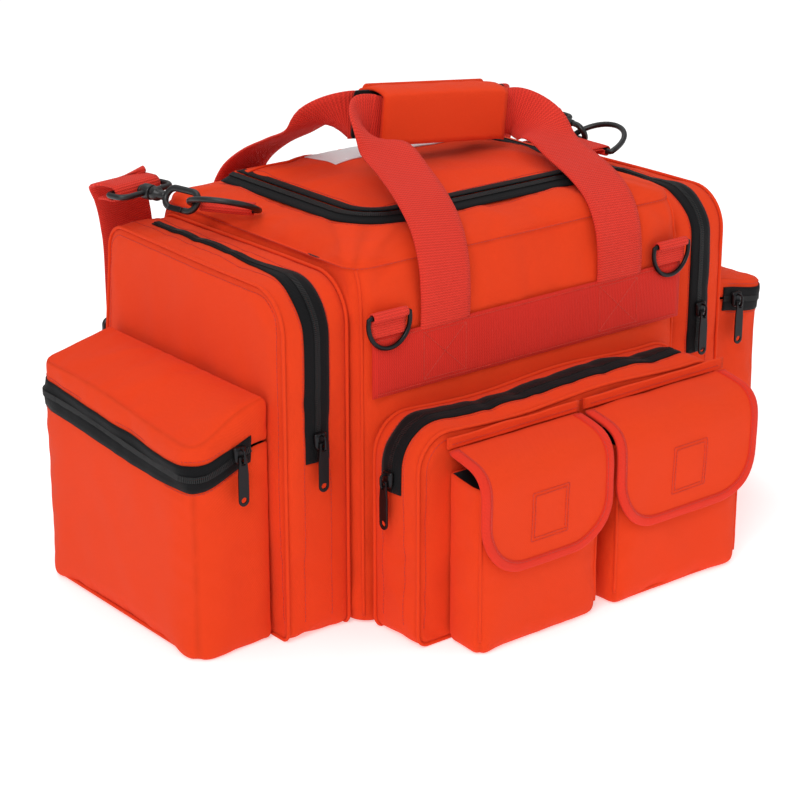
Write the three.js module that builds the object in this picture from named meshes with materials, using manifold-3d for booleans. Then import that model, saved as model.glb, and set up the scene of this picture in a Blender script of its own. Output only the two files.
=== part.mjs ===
// Duffel-shaped trauma bag with end pockets, front pockets, two carry loops and a
// clip-on shoulder strap. Millimetres, +Z up, +X along the bag, -Y towards its front.
// The origin is in the middle of the main compartment's underside.
import * as THREE from 'three';
import { mergeVertices } from 'three/addons/utils/BufferGeometryUtils.js';
import Module from 'manifold-3d';

const wasm = await Module();
wasm.setup();

// ---------- driving dimensions ----------
const gap = 0.3; // left between pieces that touch
const tapeThickness = 1.5; // woven zip tape and flat webbing
const webbing = { width: 50, thickness: 2.4 };
const main = {
  length: 350, depth: 292, bulgeHeight: 250, creaseDepth: 268, creaseHeight: 296,
  shoulderHeight: 308, topHeight: 318, wall: 5, cornerRadius: 18, bottomRound: 9,
};
const board = { margin: 14, thickness: 3, cornerRadius: 14 };
const lid = {
  length: 262, front: -92, rear: 92, cornerRadius: 40, thickness: 4, crown: 5, tapeWidth: 12,
};
const band = { bottom: 196, width: 50, thickness: 1.5 };
const tall = { width: 65, depth: 260, height: 293, wall: 4, topRadius: 34, bottomRadius: 10 };
const outer = {
  width: 74, depth: 226, height: 206, wall: 4, cornerRadius: 16, slope: 9,
  zipHeight: { left: 170, right: 185 },
};
const front = {
  length: 332, depth: 57.5, height: 181, wall: 4, topRadius: 30, bottomRadius: 10,
};
const flapPocket = { depth: 39, height: 150, wall: 3, round: 12 };
const flapPocketSpans = { left: [-136, -5], right: [9, 157] };
const flap = {
  sewnHeight: 165, overhang: 6, bottom: 62, thickness: 3, cornerRadius: 34, proud: 2.4,
};
const patch = { width: 32, height: 40, centreHeight: 105, thickness: 1.2 };
const zip = { width: 22, sliderWidth: 12, sliderLength: 14, sliderHeight: 5 };
const bail = { span: 12, bar: 2, room: 3 };
const pull = { width: 9, length: 42, thickness: 1.6, eyeLength: 7, holeRadius: 2.5 };
const loop = { spread: 94, grip: { length: 133, height: 44, thickness: 6, tilt: -6 } };
const smallRing = { inside: 37, drop: 27, wire: 1.9, spread: 152, tabWidth: 34, tabHeight: 17 };
const bigRing = { inside: 52, drop: 34, wire: 2.5, tilt: 25, tabWidth: 46 };
const hook = {
  width: 22, rim: 5.5, nose: 9, back: 32, thickness: 6, mouth: [6, 21], neck: 8,
  collarRadius: 6, shaftRadius: 3, length: 55, settle: 2.5,
};
const eye = { width: webbing.width + 12, depth: 21, bar: 5, clearance: 0.4 };
const strap = { hang: 156, legs: [-main.length / 2 - webbing.width / 2 + 7, main.length / 2 + 30], bottom: 40, bend: 112, straightTo: 168 };
const pad = { length: 190, width: 62, thickness: 9 };
const adjuster = { width: 60, length: 26, thickness: 6, from: 232 };
const hardware = {
  left: { ring: [-main.length / 2 - 3, 28, 314], turn: 33, tab: 6, hookTurn: 4 },
  right: { ring: [main.length / 2 + 23, 2, 311], turn: 0, tab: 30, hookTurn: 0 },
};
const sides = { left: -1, right: 1 };

// ---------- materials ----------
const colours = {
  cloth: new THREE.MeshStandardMaterial({ color: 0xe8492a, roughness: 0.85, metalness: 0 }),
  webbing: new THREE.MeshStandardMaterial({ color: 0xc8382e, roughness: 0.8, metalness: 0 }),
  tape: new THREE.MeshStandardMaterial({ color: 0x17171a, roughness: 0.9, metalness: 0 }),
  plastic: new THREE.MeshStandardMaterial({ color: 0x1a1a1c, roughness: 0.45, metalness: 0 }),
  metal: new THREE.MeshStandardMaterial({ color: 0x2a2b2e, roughness: 0.35, metalness: 0.9 }),
  board: new THREE.MeshStandardMaterial({ color: 0x2b2b2b, roughness: 0.7, metalness: 0 }),
};

// ---------- shape helpers ----------
const bag = new THREE.Group();

function add(name, geometry, material) {
  const mesh = new THREE.Mesh(geometry, material);
  mesh.name = name;
  bag.add(mesh);
  return mesh;
}

// A rectangle with round corners. Radii run bottom left, bottom right, top right, top left.
function roundedRect(x0, x1, y0, y1, radii) {
  const [a, b, c, d] = Array.isArray(radii) ? radii : [radii, radii, radii, radii];
  const shape = new THREE.Shape();
  shape.moveTo(x0 + a, y0);
  shape.lineTo(x1 - b, y0);
  if (b) shape.absarc(x1 - b, y0 + b, b, -Math.PI / 2, 0, false);
  shape.lineTo(x1, y1 - c);
  if (c) shape.absarc(x1 - c, y1 - c, c, 0, Math.PI / 2, false);
  shape.lineTo(x0 + d, y1);
  if (d) shape.absarc(x0 + d, y1 - d, d, Math.PI / 2, Math.PI, false);
  shape.lineTo(x0, y0 + a);
  if (a) shape.absarc(x0 + a, y0 + a, a, Math.PI, Math.PI * 1.5, false);
  return shape;
}

// Extrudes a shape along x (drawn in y, z), y (drawn in x, z) or z (drawn in x, y).
function extrude(shape, axis, from, to, curveSegments = 4) {
  const geometry = new THREE.ExtrudeGeometry(shape, {
    depth: to - from, bevelEnabled: false, curveSegments,
  });
  const basis = {
    x: [[0, 1, 0], [0, 0, 1], [1, 0, 0], [from, 0, 0]],
    y: [[1, 0, 0], [0, 0, 1], [0, -1, 0], [0, to, 0]],
    z: [[1, 0, 0], [0, 1, 0], [0, 0, 1], [0, 0, from]],
  }[axis].map((v) => new THREE.Vector3(...v));
  const matrix = new THREE.Matrix4().makeBasis(basis[0], basis[1], basis[2]);
  matrix.setPosition(basis[3]);
  return geometry.applyMatrix4(matrix);
}

function boxBetween(low, high) {
  const size = high.map((value, i) => value - low[i]);
  const centre = high.map((value, i) => (value + low[i]) / 2);
  return new THREE.BoxGeometry(...size).translate(...centre);
}

// A closed solid from stacked round-cornered rings: { z, x, y, radius } with half sizes.
function loft(rings, centreY = 0, steps = 3) {
  const positions = [];
  const index = [];
  const perRing = 4 * (steps + 1);
  rings.forEach(({ z, x, y, radius }) => {
    for (let corner = 0; corner < 4; corner += 1) {
      const cx = (corner === 0 || corner === 3 ? 1 : -1) * (x - radius);
      const cy = (corner < 2 ? 1 : -1) * (y - radius);
      for (let k = 0; k <= steps; k += 1) {
        const angle = (corner + k / steps) * Math.PI / 2;
        positions.push(cx + radius * Math.cos(angle), centreY + cy + radius * Math.sin(angle), z);
      }
    }
  });
  for (let r = 0; r + 1 < rings.length; r += 1) {
    for (let k = 0; k < perRing; k += 1) {
      const a = r * perRing + k;
      const b = r * perRing + (k + 1) % perRing;
      index.push(a, b, b + perRing, a, b + perRing, a + perRing);
    }
  }
  [[0, -1], [rings.length - 1, 1]].forEach(([ring, side]) => {
    const centre = positions.length / 3;
    positions.push(0, centreY, rings[ring].z);
    for (let k = 0; k < perRing; k += 1) {
      const a = ring * perRing + k;
      const b = ring * perRing + (k + 1) % perRing;
      index.push(centre, side > 0 ? a : b, side > 0 ? b : a);
    }
  });
  return indexed(positions, index);
}

function indexed(positions, index) {
  const geometry = new THREE.BufferGeometry();
  geometry.setAttribute('position', new THREE.Float32BufferAttribute(positions, 3));
  geometry.setIndex(index);
  return geometry;
}

// A solid swept through stations, each a closed outline of the same number of points.
function sweep(outlines, closed = false) {
  const n = outlines[0].length;
  const positions = outlines.flat().flatMap((p) => p.toArray());
  const index = [];
  const last = closed ? outlines.length : outlines.length - 1;
  for (let s = 0; s < last; s += 1) {
    const next = (s + 1) % outlines.length;
    for (let k = 0; k < n; k += 1) {
      const [a, b] = [s * n + k, s * n + (k + 1) % n];
      const [c, d] = [next * n + (k + 1) % n, next * n + k];
      index.push(a, b, c, a, c, d);
    }
  }
  if (!closed) {
    const end = (outlines.length - 1) * n;
    for (let k = 1; k + 1 < n; k += 1) {
      index.push(0, k + 1, k, end, end + k, end + k + 1);
    }
  }
  return indexed(positions, index);
}

// Flat webbing: stations of { at, across, width }, with `across` along the width.
function ribbon(stations, thickness) {
  const outlines = stations.map(({ at, across, width }, i) => {
    const before = stations[Math.max(i - 1, 0)].at;
    const after = stations[Math.min(i + 1, stations.length - 1)].at;
    const along = new THREE.Vector3().subVectors(after, before).normalize();
    const side = across.clone().addScaledVector(along, -across.dot(along)).normalize();
    const normal = new THREE.Vector3().crossVectors(side, along).normalize();
    return [[-1, -1], [-1, 1], [1, 1], [1, -1]].map(([s, t]) => at.clone()
      .addScaledVector(side, s * width / 2)
      .addScaledVector(normal, t * thickness / 2));
  });
  return sweep(outlines);
}

// A bent round bar closed on itself, in the local x, y plane, from a closed list of points.
function hoop(points, radius, around = 8) {
  const outlines = points.map((p, i) => {
    const before = points[(i + points.length - 1) % points.length];
    const after = points[(i + 1) % points.length];
    const along = new THREE.Vector2().subVectors(after, before).normalize();
    return Array.from({ length: around }, (_, k) => {
      const angle = -2 * Math.PI * k / around;
      const out = radius * Math.cos(angle);
      return new THREE.Vector3(p.x + along.y * out, p.y - along.x * out,
        radius * Math.sin(angle));
    });
  });
  return sweep(outlines, true);
}

// The middle line of a D-shaped ring: its bar on y = 0, its bow towards -y.
function dOutline(inside, drop, wire, steps = 12) {
  const half = inside / 2 + wire;
  const straight = drop * 0.2;
  const points = [new THREE.Vector2(half, 0)];
  points.push(new THREE.Vector2(0, 0), new THREE.Vector2(-half, 0));
  for (let k = 0; k <= steps; k += 1) {
    const angle = Math.PI + Math.PI * k / steps;
    points.push(new THREE.Vector2(half * Math.cos(angle),
      -straight + (drop - straight) * Math.sin(angle)));
  }
  return points;
}

// A strip of even thickness along a polyline, to be extruded across itself.
function stripShape(points, thickness) {
  const offset = (side) => points.map(([x, y], i) => {
    const [ax, ay] = points[Math.max(i - 1, 0)];
    const [bx, by] = points[Math.min(i + 1, points.length - 1)];
    const before = Math.atan2(y - ay, x - ax);
    const after = Math.atan2(by - y, bx - x);
    const first = i === 0 ? after : before;
    const last = i === points.length - 1 ? before : after;
    const angle = (first + last) / 2 + Math.PI / 2;
    const reach = side * thickness / 2 / Math.cos((last - first) / 2);
    return new THREE.Vector2(x + reach * Math.cos(angle), y + reach * Math.sin(angle));
  });
  return new THREE.Shape([...offset(1), ...offset(-1).reverse()]);
}

// Points along an arc, for the strips that follow a rounded pocket.
function arc(cx, cy, radius, from, to, steps = 6) {
  return Array.from({ length: steps + 1 }, (_, k) => {
    const angle = from + (to - from) * k / steps;
    return [cx + radius * Math.cos(angle), cy + radius * Math.sin(angle)];
  });
}

function solid(geometry) {
  const bare = geometry.clone();
  Object.keys(bare.attributes).filter((name) => name !== 'position')
    .forEach((name) => bare.deleteAttribute(name));
  const merged = mergeVertices(bare, 1e-4);
  return new wasm.Manifold(new wasm.Mesh({
    numProp: 3,
    vertProperties: new Float32Array(merged.attributes.position.array),
    triVerts: new Uint32Array(merged.index.array),
  }));
}

function toGeometry(manifold) {
  const { vertProperties, triVerts } = manifold.getMesh();
  return indexed(Array.from(vertProperties), Array.from(triVerts));
}

const join = (...parts) => toGeometry(parts.map(solid).reduce((a, b) => a.add(b)));
const cut = (from, ...tools) => toGeometry(
  tools.map(solid).reduce((left, tool) => left.subtract(tool), solid(from)),
);
const intersect = (a, b) => toGeometry(solid(a).intersect(solid(b)));

const mirrorX = (geometry, side) => {
  if (side < 0) return geometry;
  const mirrored = geometry.clone().scale(-1, 1, 1);
  const flipped = mirrored.index ? mirrored : mergeVertices(mirrored);
  const order = flipped.index.array;
  for (let i = 0; i < order.length; i += 3) [order[i], order[i + 1]] = [order[i + 1], order[i]];
  return flipped;
};

// ---------- main compartment ----------
const halfLength = main.length / 2;
const halfDepth = main.depth / 2;
const sliderHalf = zip.sliderWidth / 2;
const lidHalf = lid.length / 2;
const mouth = {
  x: lidHalf - sliderHalf, front: lid.front + sliderHalf, radius: lid.cornerRadius - sliderHalf,
};

function mainRings(inset) {
  const r = Math.max(main.cornerRadius - inset, 4);
  const x = halfLength - inset;
  const y = halfDepth - inset;
  const crease = main.creaseDepth / 2 - inset;
  const rimX = lidHalf + lid.tapeWidth + 4 - inset;
  const rimY = -lid.front + lid.tapeWidth + 4 - inset;
  return [
    { z: inset, x: x - main.bottomRound, y: y - main.bottomRound, radius: r },
    { z: inset + main.bottomRound, x, y, radius: r },
    { z: main.bulgeHeight - inset, x, y, radius: r },
    { z: main.creaseHeight - inset, x: x - 2, y: crease, radius: r },
    { z: main.shoulderHeight - inset, x: (x + rimX) / 2, y: (crease + rimY) / 2, radius: r + 8 },
    { z: main.topHeight - inset, x: rimX, y: rimY, radius: lid.cornerRadius },
  ];
}

function mouthShape(grow, rearGrow = 0) {
  const r = mouth.radius + grow;
  return roundedRect(-mouth.x - grow, mouth.x + grow, mouth.front - grow,
    lid.rear + rearGrow, [r, r, 0, 0]);
}

const mouthCutter = extrude(mouthShape(0), 'z', main.topHeight - 40, main.topHeight + 10);
add('body_shell', cut(loft(mainRings(0)), loft(mainRings(main.wall)), mouthCutter),
  colours.cloth);

const boardInset = main.wall + board.margin;
add('base_board', extrude(
  roundedRect(-halfLength + boardInset, halfLength - boardInset,
    -halfDepth + boardInset, halfDepth - boardInset, board.cornerRadius),
  'z', main.wall + gap, main.wall + gap + board.thickness,
), colours.board);

// The zip stitched round the mouth: this half stays on the bag.
const bodyTapeTop = main.topHeight + gap + tapeThickness;
const outerTape = extrude(mouthShape(lid.tapeWidth + sliderHalf), 'z',
  main.topHeight + gap, bodyTapeTop);
const innerTape = extrude(mouthShape(0, 10), 'z', main.topHeight - 1, bodyTapeTop + 1);
add('lid_zip_body_half', cut(outerTape, innerTape), colours.tape);

// ---------- lid ----------
const lidTop = main.topHeight + 1;
const lidGap = 0.4;
function lidRing(z, inset) {
  return {
    z,
    x: mouth.x - lidGap - inset,
    y: (lid.rear - mouth.front) / 2 - lidGap - inset,
    radius: mouth.radius - lidGap - inset / 2,
  };
}
const lidCentre = (lid.rear + mouth.front) / 2;
add('lid_panel', loft([
  lidRing(lidTop - lid.thickness, 0),
  lidRing(lidTop, 0),
  lidRing(lidTop, lid.tapeWidth + 2),
  lidRing(lidTop + lid.crown, lid.tapeWidth + 18),
], lidCentre), colours.cloth);
const lidTapeTop = lidTop + gap + tapeThickness;
add('lid_zip_lid_half', cut(
  extrude(mouthShape(-lidGap, -14), 'z', lidTop + gap, lidTapeTop),
  extrude(mouthShape(-lidGap - lid.tapeWidth, 0), 'z', lidTop - 1, lidTapeTop + 1),
), colours.tape);

// ---------- zip sliders and pulls ----------
// Local frame: x across, y along the zip (the pull hangs towards -y), z out of the cloth.
function sliderGeometry() {
  const { sliderWidth, sliderLength, sliderHeight } = zip;
  const plate = extrude(
    roundedRect(-sliderWidth / 2, sliderWidth / 2, -sliderLength / 2, sliderLength / 2,
      [4, 4, 1, 1]), 'z', gap, gap + sliderHeight, 3);
  const top = gap + sliderHeight + bail.room + bail.bar;
  const arch = roundedRect(-bail.span / 2, bail.span / 2, gap + sliderHeight - 1, top, 0);
  arch.holes.push(roundedRect(-bail.span / 2 + bail.bar, bail.span / 2 - bail.bar,
    gap + sliderHeight - 0.5, top - bail.bar, 0));
  return join(plate, extrude(arch, 'x', -bail.bar / 2, bail.bar / 2));
}

function pullGeometry() {
  const half = pull.width / 2;
  const crossPiece = pull.thickness / 2;
  const shape = roundedRect(-half, half, crossPiece - pull.length, crossPiece,
    [half - 0.5, half - 0.5, 1, 1]);
  shape.holes.push(roundedRect(-bail.bar - 0.4, bail.bar + 0.4,
    -pull.eyeLength, -crossPiece, 0));
  const hole = new THREE.Path();
  hole.absarc(0, crossPiece - pull.length + half + 1.5, pull.holeRadius, 0, Math.PI * 2, true);
  shape.holes.push(hole);
  const height = gap + zip.sliderHeight + bail.room / 2;
  return extrude(shape, 'z', height - crossPiece, height + crossPiece, 3);
}

function placed(geometry, at, across, along, out) {
  const basis = [across, along, out].map((v) => new THREE.Vector3(...v));
  const matrix = new THREE.Matrix4().makeBasis(...basis);
  matrix.setPosition(...at);
  return geometry.clone().applyMatrix4(matrix);
}

function addSlider(name, at, across, along, out) {
  add(`${name}_slider`, placed(sliderGeometry(), at, across, along, out), colours.metal);
  add(`${name}_pull`, placed(pullGeometry(), at, across, along, out), colours.metal);
}

// The lid's slider is at the rear end of its zip, with its pull lying rearwards.
addSlider('lid_zip', [lidHalf + 1.7, lid.rear - 16, bodyTapeTop], [-1, 0, 0], [0, -1, 0],
  [0, 0, 1]);

// ---------- front and rear bands ----------
const bandTop = band.bottom + band.width;
const bandFace = halfDepth + gap + band.thickness;
['front', 'rear'].forEach((place) => {
  const [near, far] = [halfDepth + gap, bandFace];
  const reach = halfLength - main.cornerRadius / 2;
  const low = [-reach, place === 'front' ? -far : near, band.bottom];
  const high = [reach, place === 'front' ? -near : far, bandTop];
  add(`${place}_band`, boxBetween(low, high), colours.webbing);
});

// ---------- carry loops and grip ----------
// One leg from the band to the grip: way in from the face, height, share of the way from the
// leg's foot to the grip's end, distance past the grip's end, twist and width.
const legPath = [
  [0, 0, 0, 23, 0, 50], [1, 22, 0.05, 23, 0, 50], [6, 44, 0.15, 23, 0, 50],
  [19, 65, 0.32, 23, 0, 50], [42, 81, 0.55, 23, 0, 50], [70, 93, 0.8, 23, 0, 50],
  [98, 105, 0.97, 24, 0, 50], [120, 114, 1, 26, 40, 46], [136, 120, 1, 20, 70, 42],
  [140, 121, 1, 8, 90, 40],
];
const loopStart = { y: -bandFace - 0.2, z: bandTop + gap + 1.8 };
const gripCentre = { x: 14, y: -9, z: 368 };
const gripSlope = Math.tan(THREE.MathUtils.degToRad(loop.grip.tilt));

function legStations(side) {
  return legPath.map(([inward, up, share, past, twist, width]) => {
    const top = gripCentre.x + side * (loop.grip.length / 2 + past);
    const x = THREE.MathUtils.lerp(side * loop.spread, top, share);
    const sway = share * gripSlope * (x - gripCentre.x);
    const angle = THREE.MathUtils.degToRad(twist);
    return {
      at: new THREE.Vector3(x, loopStart.y + inward, loopStart.z + up + sway),
      across: new THREE.Vector3(-side * Math.cos(angle), 0, -Math.sin(angle)),
      width,
    };
  });
}

function loopGeometry() {
  const down = new THREE.Vector3(0, 0, -1);
  const core = [-1, 1].map((side) => {
    const reach = side * (loop.grip.length / 2 - 12);
    return {
      at: new THREE.Vector3(gripCentre.x + reach, gripCentre.y,
        gripCentre.z + gripSlope * reach),
      across: down,
      width: 38,
    };
  });
  return ribbon([...legStations(-1), ...core, ...legStations(1).reverse()],
    webbing.thickness);
}

function turnedAbout(geometry, centre, axis, degrees) {
  return geometry.translate(-centre.x, -centre.y, -centre.z)
    .applyMatrix4(new THREE.Matrix4().makeRotationAxis(axis, THREE.MathUtils.degToRad(degrees)))
    .translate(centre.x, centre.y, centre.z);
}

function gripPanel(face, rise, thickness, height, length = loop.grip.length) {
  const shape = roundedRect(gripCentre.x - length / 2, gripCentre.x + length / 2,
    gripCentre.z + rise - height / 2, gripCentre.z + rise + height / 2, 4);
  const geometry = extrude(shape, 'y', face, face + thickness, 2);
  return turnedAbout(geometry, gripCentre, new THREE.Vector3(0, 1, 0), -loop.grip.tilt);
}

const frontLoop = loopGeometry();
add('front_loop', frontLoop, colours.webbing);
// The rear loop mirrors the front one, front to back.
const rearLoop = frontLoop.clone().scale(1, -1, 1);
for (let i = 0, order = rearLoop.index.array; i < order.length; i += 3) {
  [order[i], order[i + 1]] = [order[i + 1], order[i]];
}
add('rear_loop', rearLoop, colours.webbing);
const strapFace = -gripCentre.y + webbing.thickness / 2 + gap;
add('grip_front_panel',
  gripPanel(-strapFace - loop.grip.thickness, 0, loop.grip.thickness, loop.grip.height),
  colours.cloth);
add('grip_rear_panel',
  gripPanel(strapFace, 4, loop.grip.thickness, loop.grip.height), colours.cloth);
add('grip_hook_strip', gripPanel(3, 2, 3, 40, loop.grip.length + 30), colours.tape);

// ---------- tall end pockets ----------
function pocketOutline(low, high, height, radii, inset) {
  const [bottom, top] = radii.map((r) => Math.max(r - inset, 1));
  return roundedRect(low + inset, high - inset, inset, height - inset, [bottom, bottom, top, top]);
}

const tallFace = tall.depth / 2;
const tallOuterX = halfLength + gap + tall.width;
const tallZipX = halfLength + gap + tall.width / 2;
function tallPocket() {
  const radii = [tall.bottomRadius, tall.topRadius];
  const block = extrude(pocketOutline(-tallFace, tallFace, tall.height, radii, 0),
    'x', halfLength + gap, tallOuterX, 5);
  const hollow = extrude(pocketOutline(-tallFace, tallFace, tall.height, radii, tall.wall),
    'x', halfLength, tallOuterX - tall.wall, 5);
  return cut(block, hollow);
}

function tallZip() {
  const out = gap + tapeThickness / 2;
  const r = tall.topRadius;
  const path = [
    [-tallFace - out, 148],
    ...arc(-tallFace + r, tall.height - r, r + out, Math.PI, Math.PI / 2),
    [tallFace - r - 4, tall.height + out],
  ];
  return extrude(stripShape(path, tapeThickness), 'x', tallZipX - zip.width / 2,
    tallZipX + zip.width / 2);
}

const tallSliderHeights = { left: 168, right: 190 };
Object.entries(sides).forEach(([name, side]) => {
  add(`tall_pocket_${name}`, mirrorX(tallPocket(), -side), colours.cloth);
  add(`tall_zip_${name}`, mirrorX(tallZip(), -side), colours.tape);
  addSlider(`tall_zip_${name}`,
    [side * tallZipX, -tallFace - gap - tapeThickness, tallSliderHeights[name]],
    [1, 0, 0], [0, 0, 1], [0, -1, 0]);
});

// ---------- outer end pockets with lids ----------
const outerFace = outer.depth / 2;
const outerInnerX = tallOuterX + gap;
const outerOuterX = outerInnerX + outer.width;
function outerShape(inset, innerInset = inset) {
  const r = Math.max(outer.cornerRadius - inset, 2);
  return roundedRect(outerInnerX + innerInset, outerOuterX - inset, -outerFace + inset,
    outerFace - inset, [0, r, r, 0]);
}

function outerBox(zipHeight) {
  return cut(extrude(outerShape(0), 'z', 0, zipHeight),
    extrude(outerShape(outer.wall), 'z', outer.wall, zipHeight + 1));
}

// The lid's top falls away from the bag, so the block is trimmed by a sloping wedge.
function slopedWedge(lift) {
  const top = outer.height + lift;
  const shape = new THREE.Shape([
    new THREE.Vector2(outerInnerX - 5, top + 0.01),
    new THREE.Vector2(outerOuterX + 5, top - outer.slope),
    new THREE.Vector2(outerOuterX + 5, top + 30),
    new THREE.Vector2(outerInnerX - 5, top + 30),
  ]);
  return extrude(shape, 'y', -outerFace - 5, outerFace + 5);
}

function outerLid(zipHeight) {
  const low = zipHeight + gap;
  const block = cut(extrude(outerShape(0), 'z', low, outer.height + 5), slopedWedge(0));
  const inside = cut(extrude(outerShape(outer.wall, -1), 'z', low - 1, outer.height),
    slopedWedge(-outer.wall));
  return cut(block, inside);
}

function outerZip(zipHeight) {
  const [low, high] = [zipHeight - zip.width / 2, zipHeight - 0.5];
  const ring = cut(extrude(outerShape(-gap - tapeThickness, 18), 'z', low, high),
    extrude(outerShape(-gap, 10), 'z', low - 1, high + 1));
  return ring;
}

const outerSliderX = outerInnerX + 31;
Object.entries(sides).forEach(([name, side]) => {
  const zipHeight = outer.zipHeight[name];
  add(`outer_pocket_${name}`, mirrorX(outerBox(zipHeight), -side), colours.cloth);
  add(`outer_lid_${name}`, mirrorX(outerLid(zipHeight), -side), colours.cloth);
  add(`outer_zip_${name}`, mirrorX(outerZip(zipHeight), -side), colours.tape);
  addSlider(`outer_zip_${name}`,
    [side * outerSliderX, -outerFace - gap - tapeThickness, zipHeight - 3],
    [1, 0, 0], [0, 0, 1], [0, -1, 0]);
});

// ---------- front pocket ----------
const frontBack = -halfDepth - gap;
const frontFace = frontBack - front.depth;
const frontHalf = front.length / 2;
function frontPocket() {
  const radii = [front.bottomRadius, front.topRadius];
  const block = extrude(pocketOutline(-frontHalf, frontHalf, front.height, radii, 0),
    'y', frontFace, frontBack, 5);
  const hollow = extrude(pocketOutline(-frontHalf, frontHalf, front.height, radii, front.wall),
    'y', frontFace + front.wall, frontBack + 1, 5);
  return cut(block, hollow);
}
add('front_pocket', frontPocket(), colours.cloth);

const frontZipY = (frontFace + frontBack) / 2 + 4;
function frontZip() {
  const out = gap + tapeThickness / 2;
  const r = front.topRadius;
  const path = [
    [-frontHalf - out, 126],
    ...arc(-frontHalf + r, front.height - r, r + out, Math.PI, Math.PI / 2),
    [frontHalf - r - 1, front.height + out],
  ];
  return extrude(stripShape(path, tapeThickness), 'y', frontZipY - zip.width / 2,
    frontZipY + zip.width / 2);
}
add('front_zip', frontZip(), colours.tape);
addSlider('front_zip', [-frontHalf - gap - tapeThickness, frontZipY, 138],
  [0, -1, 0], [0, 0, 1], [-1, 0, 0]);

// ---------- flap pockets ----------
const flapBack = frontFace - gap;
const flapFace = flapBack - flapPocket.depth;
function flapPocketGeometry([x0, x1]) {
  const { round, height, wall } = flapPocket;
  const side = new THREE.Shape();
  side.moveTo(flapBack, 0);
  side.lineTo(flapBack, height);
  side.lineTo(flapFace + round, height - 6);
  side.absarc(flapFace + round, height - 6 - round, round, Math.PI / 2, Math.PI, false);
  side.lineTo(flapFace, round);
  side.absarc(flapFace + round, round, round, Math.PI, Math.PI * 1.5, false);
  return cut(extrude(side, 'x', x0, x1, 3),
    boxBetween([x0 + wall, flapFace + wall, wall], [x1 - wall, flapBack - wall, height + 10]));
}

function flapGeometry([x0, x1]) {
  const hang = flapFace - flap.proud - flap.thickness / 2;
  const start = flapBack - flap.thickness / 2;
  const profile = [
    [start, flap.sewnHeight - 1.5],
    [start - 12, flap.sewnHeight - 3],
    ...arc(hang + 14, flap.sewnHeight - 20, 14, Math.PI / 2, Math.PI, 4),
    [hang, flap.bottom],
  ];
  const sheet = extrude(stripShape(profile, flap.thickness), 'x',
    x0 - flap.overhang, x1 + flap.overhang);
  const r = flap.cornerRadius;
  const outline = extrude(roundedRect(x0 - flap.overhang, x1 + flap.overhang, flap.bottom - 1,
    flap.sewnHeight + 10, [r, r, 0, 0]), 'y', hang - 20, start + 20, 5);
  return intersect(sheet, outline);
}

Object.entries(flapPocketSpans).forEach(([name, span]) => {
  add(`flap_pocket_${name}`, flapPocketGeometry(span), colours.cloth);
  add(`flap_${name}`, flapGeometry(span), colours.cloth);
  const middle = (span[0] + span[1]) / 2;
  add(`loop_patch_${name}`, boxBetween(
    [middle - patch.width / 2, flapFace - gap - patch.thickness,
      patch.centreHeight - patch.height / 2],
    [middle + patch.width / 2, flapFace - gap, patch.centreHeight + patch.height / 2],
  ), colours.tape);
});

// ---------- front D-rings on their webbing tabs ----------
const ringRoom = 0.7; // between a ring's bar and the webbing folded round it
function tabGeometry(width, wire, reach, fold, backSide) {
  // Drawn in (distance out of the cloth, height): a doubled strap with the bar's tunnel on top.
  const outerRadius = wire + ringRoom + fold;
  const shape = new THREE.Shape();
  shape.moveTo(-outerRadius, 0);
  shape.lineTo(-outerRadius, reach);
  shape.absarc(0, reach, outerRadius, Math.PI, -Math.PI / 2, true);
  shape.lineTo(-outerRadius + backSide, reach - outerRadius);
  shape.lineTo(-outerRadius + backSide, 0);
  const tunnel = new THREE.Path();
  tunnel.absarc(0, reach, wire + ringRoom, 0, Math.PI * 2, false);
  shape.holes.push(tunnel);
  return { geometry: extrude(shape, 'x', -width / 2, width / 2, 8), outerRadius };
}

const smallTab = tabGeometry(smallRing.tabWidth, smallRing.wire, smallRing.tabHeight, 1.6, 2.4);
const ringBarY = -bandFace - smallTab.outerRadius + band.thickness + 0.2;
const ringBarZ = bandTop + gap + smallRing.tabHeight;
Object.entries(sides).forEach(([name, side]) => {
  add(`front_ring_tab_${name}`, placed(smallTab.geometry,
    [side * smallRing.spread, ringBarY, bandTop + gap], [-1, 0, 0], [0, -1, 0], [0, 0, 1]),
  colours.webbing);
  const ring = hoop(dOutline(smallRing.inside, smallRing.drop, smallRing.wire), smallRing.wire);
  add(`front_ring_${name}`, placed(ring, [side * smallRing.spread, ringBarY, ringBarZ],
    [1, 0, 0], [0, 0, 1], [0, -1, 0]), colours.metal);
});

// ---------- end D-rings, snap hooks and the shoulder strap ----------
// Hardware frame at each end: x away from the bag, y rearwards, z up.
const degrees = THREE.MathUtils.degToRad;

function turnedVector(side, turn, [outward, rearward, up]) {
  const [c, s] = [Math.cos(degrees(turn)), Math.sin(degrees(turn))];
  return new THREE.Vector3(side * (outward * c + rearward * s),
    rearward * c - outward * s, up);
}

function lineUp(geometry, at, across, along) {
  const out = new THREE.Vector3().crossVectors(across, along);
  return placed(geometry, at, across.toArray(), along.toArray(), out.toArray());
}

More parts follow.
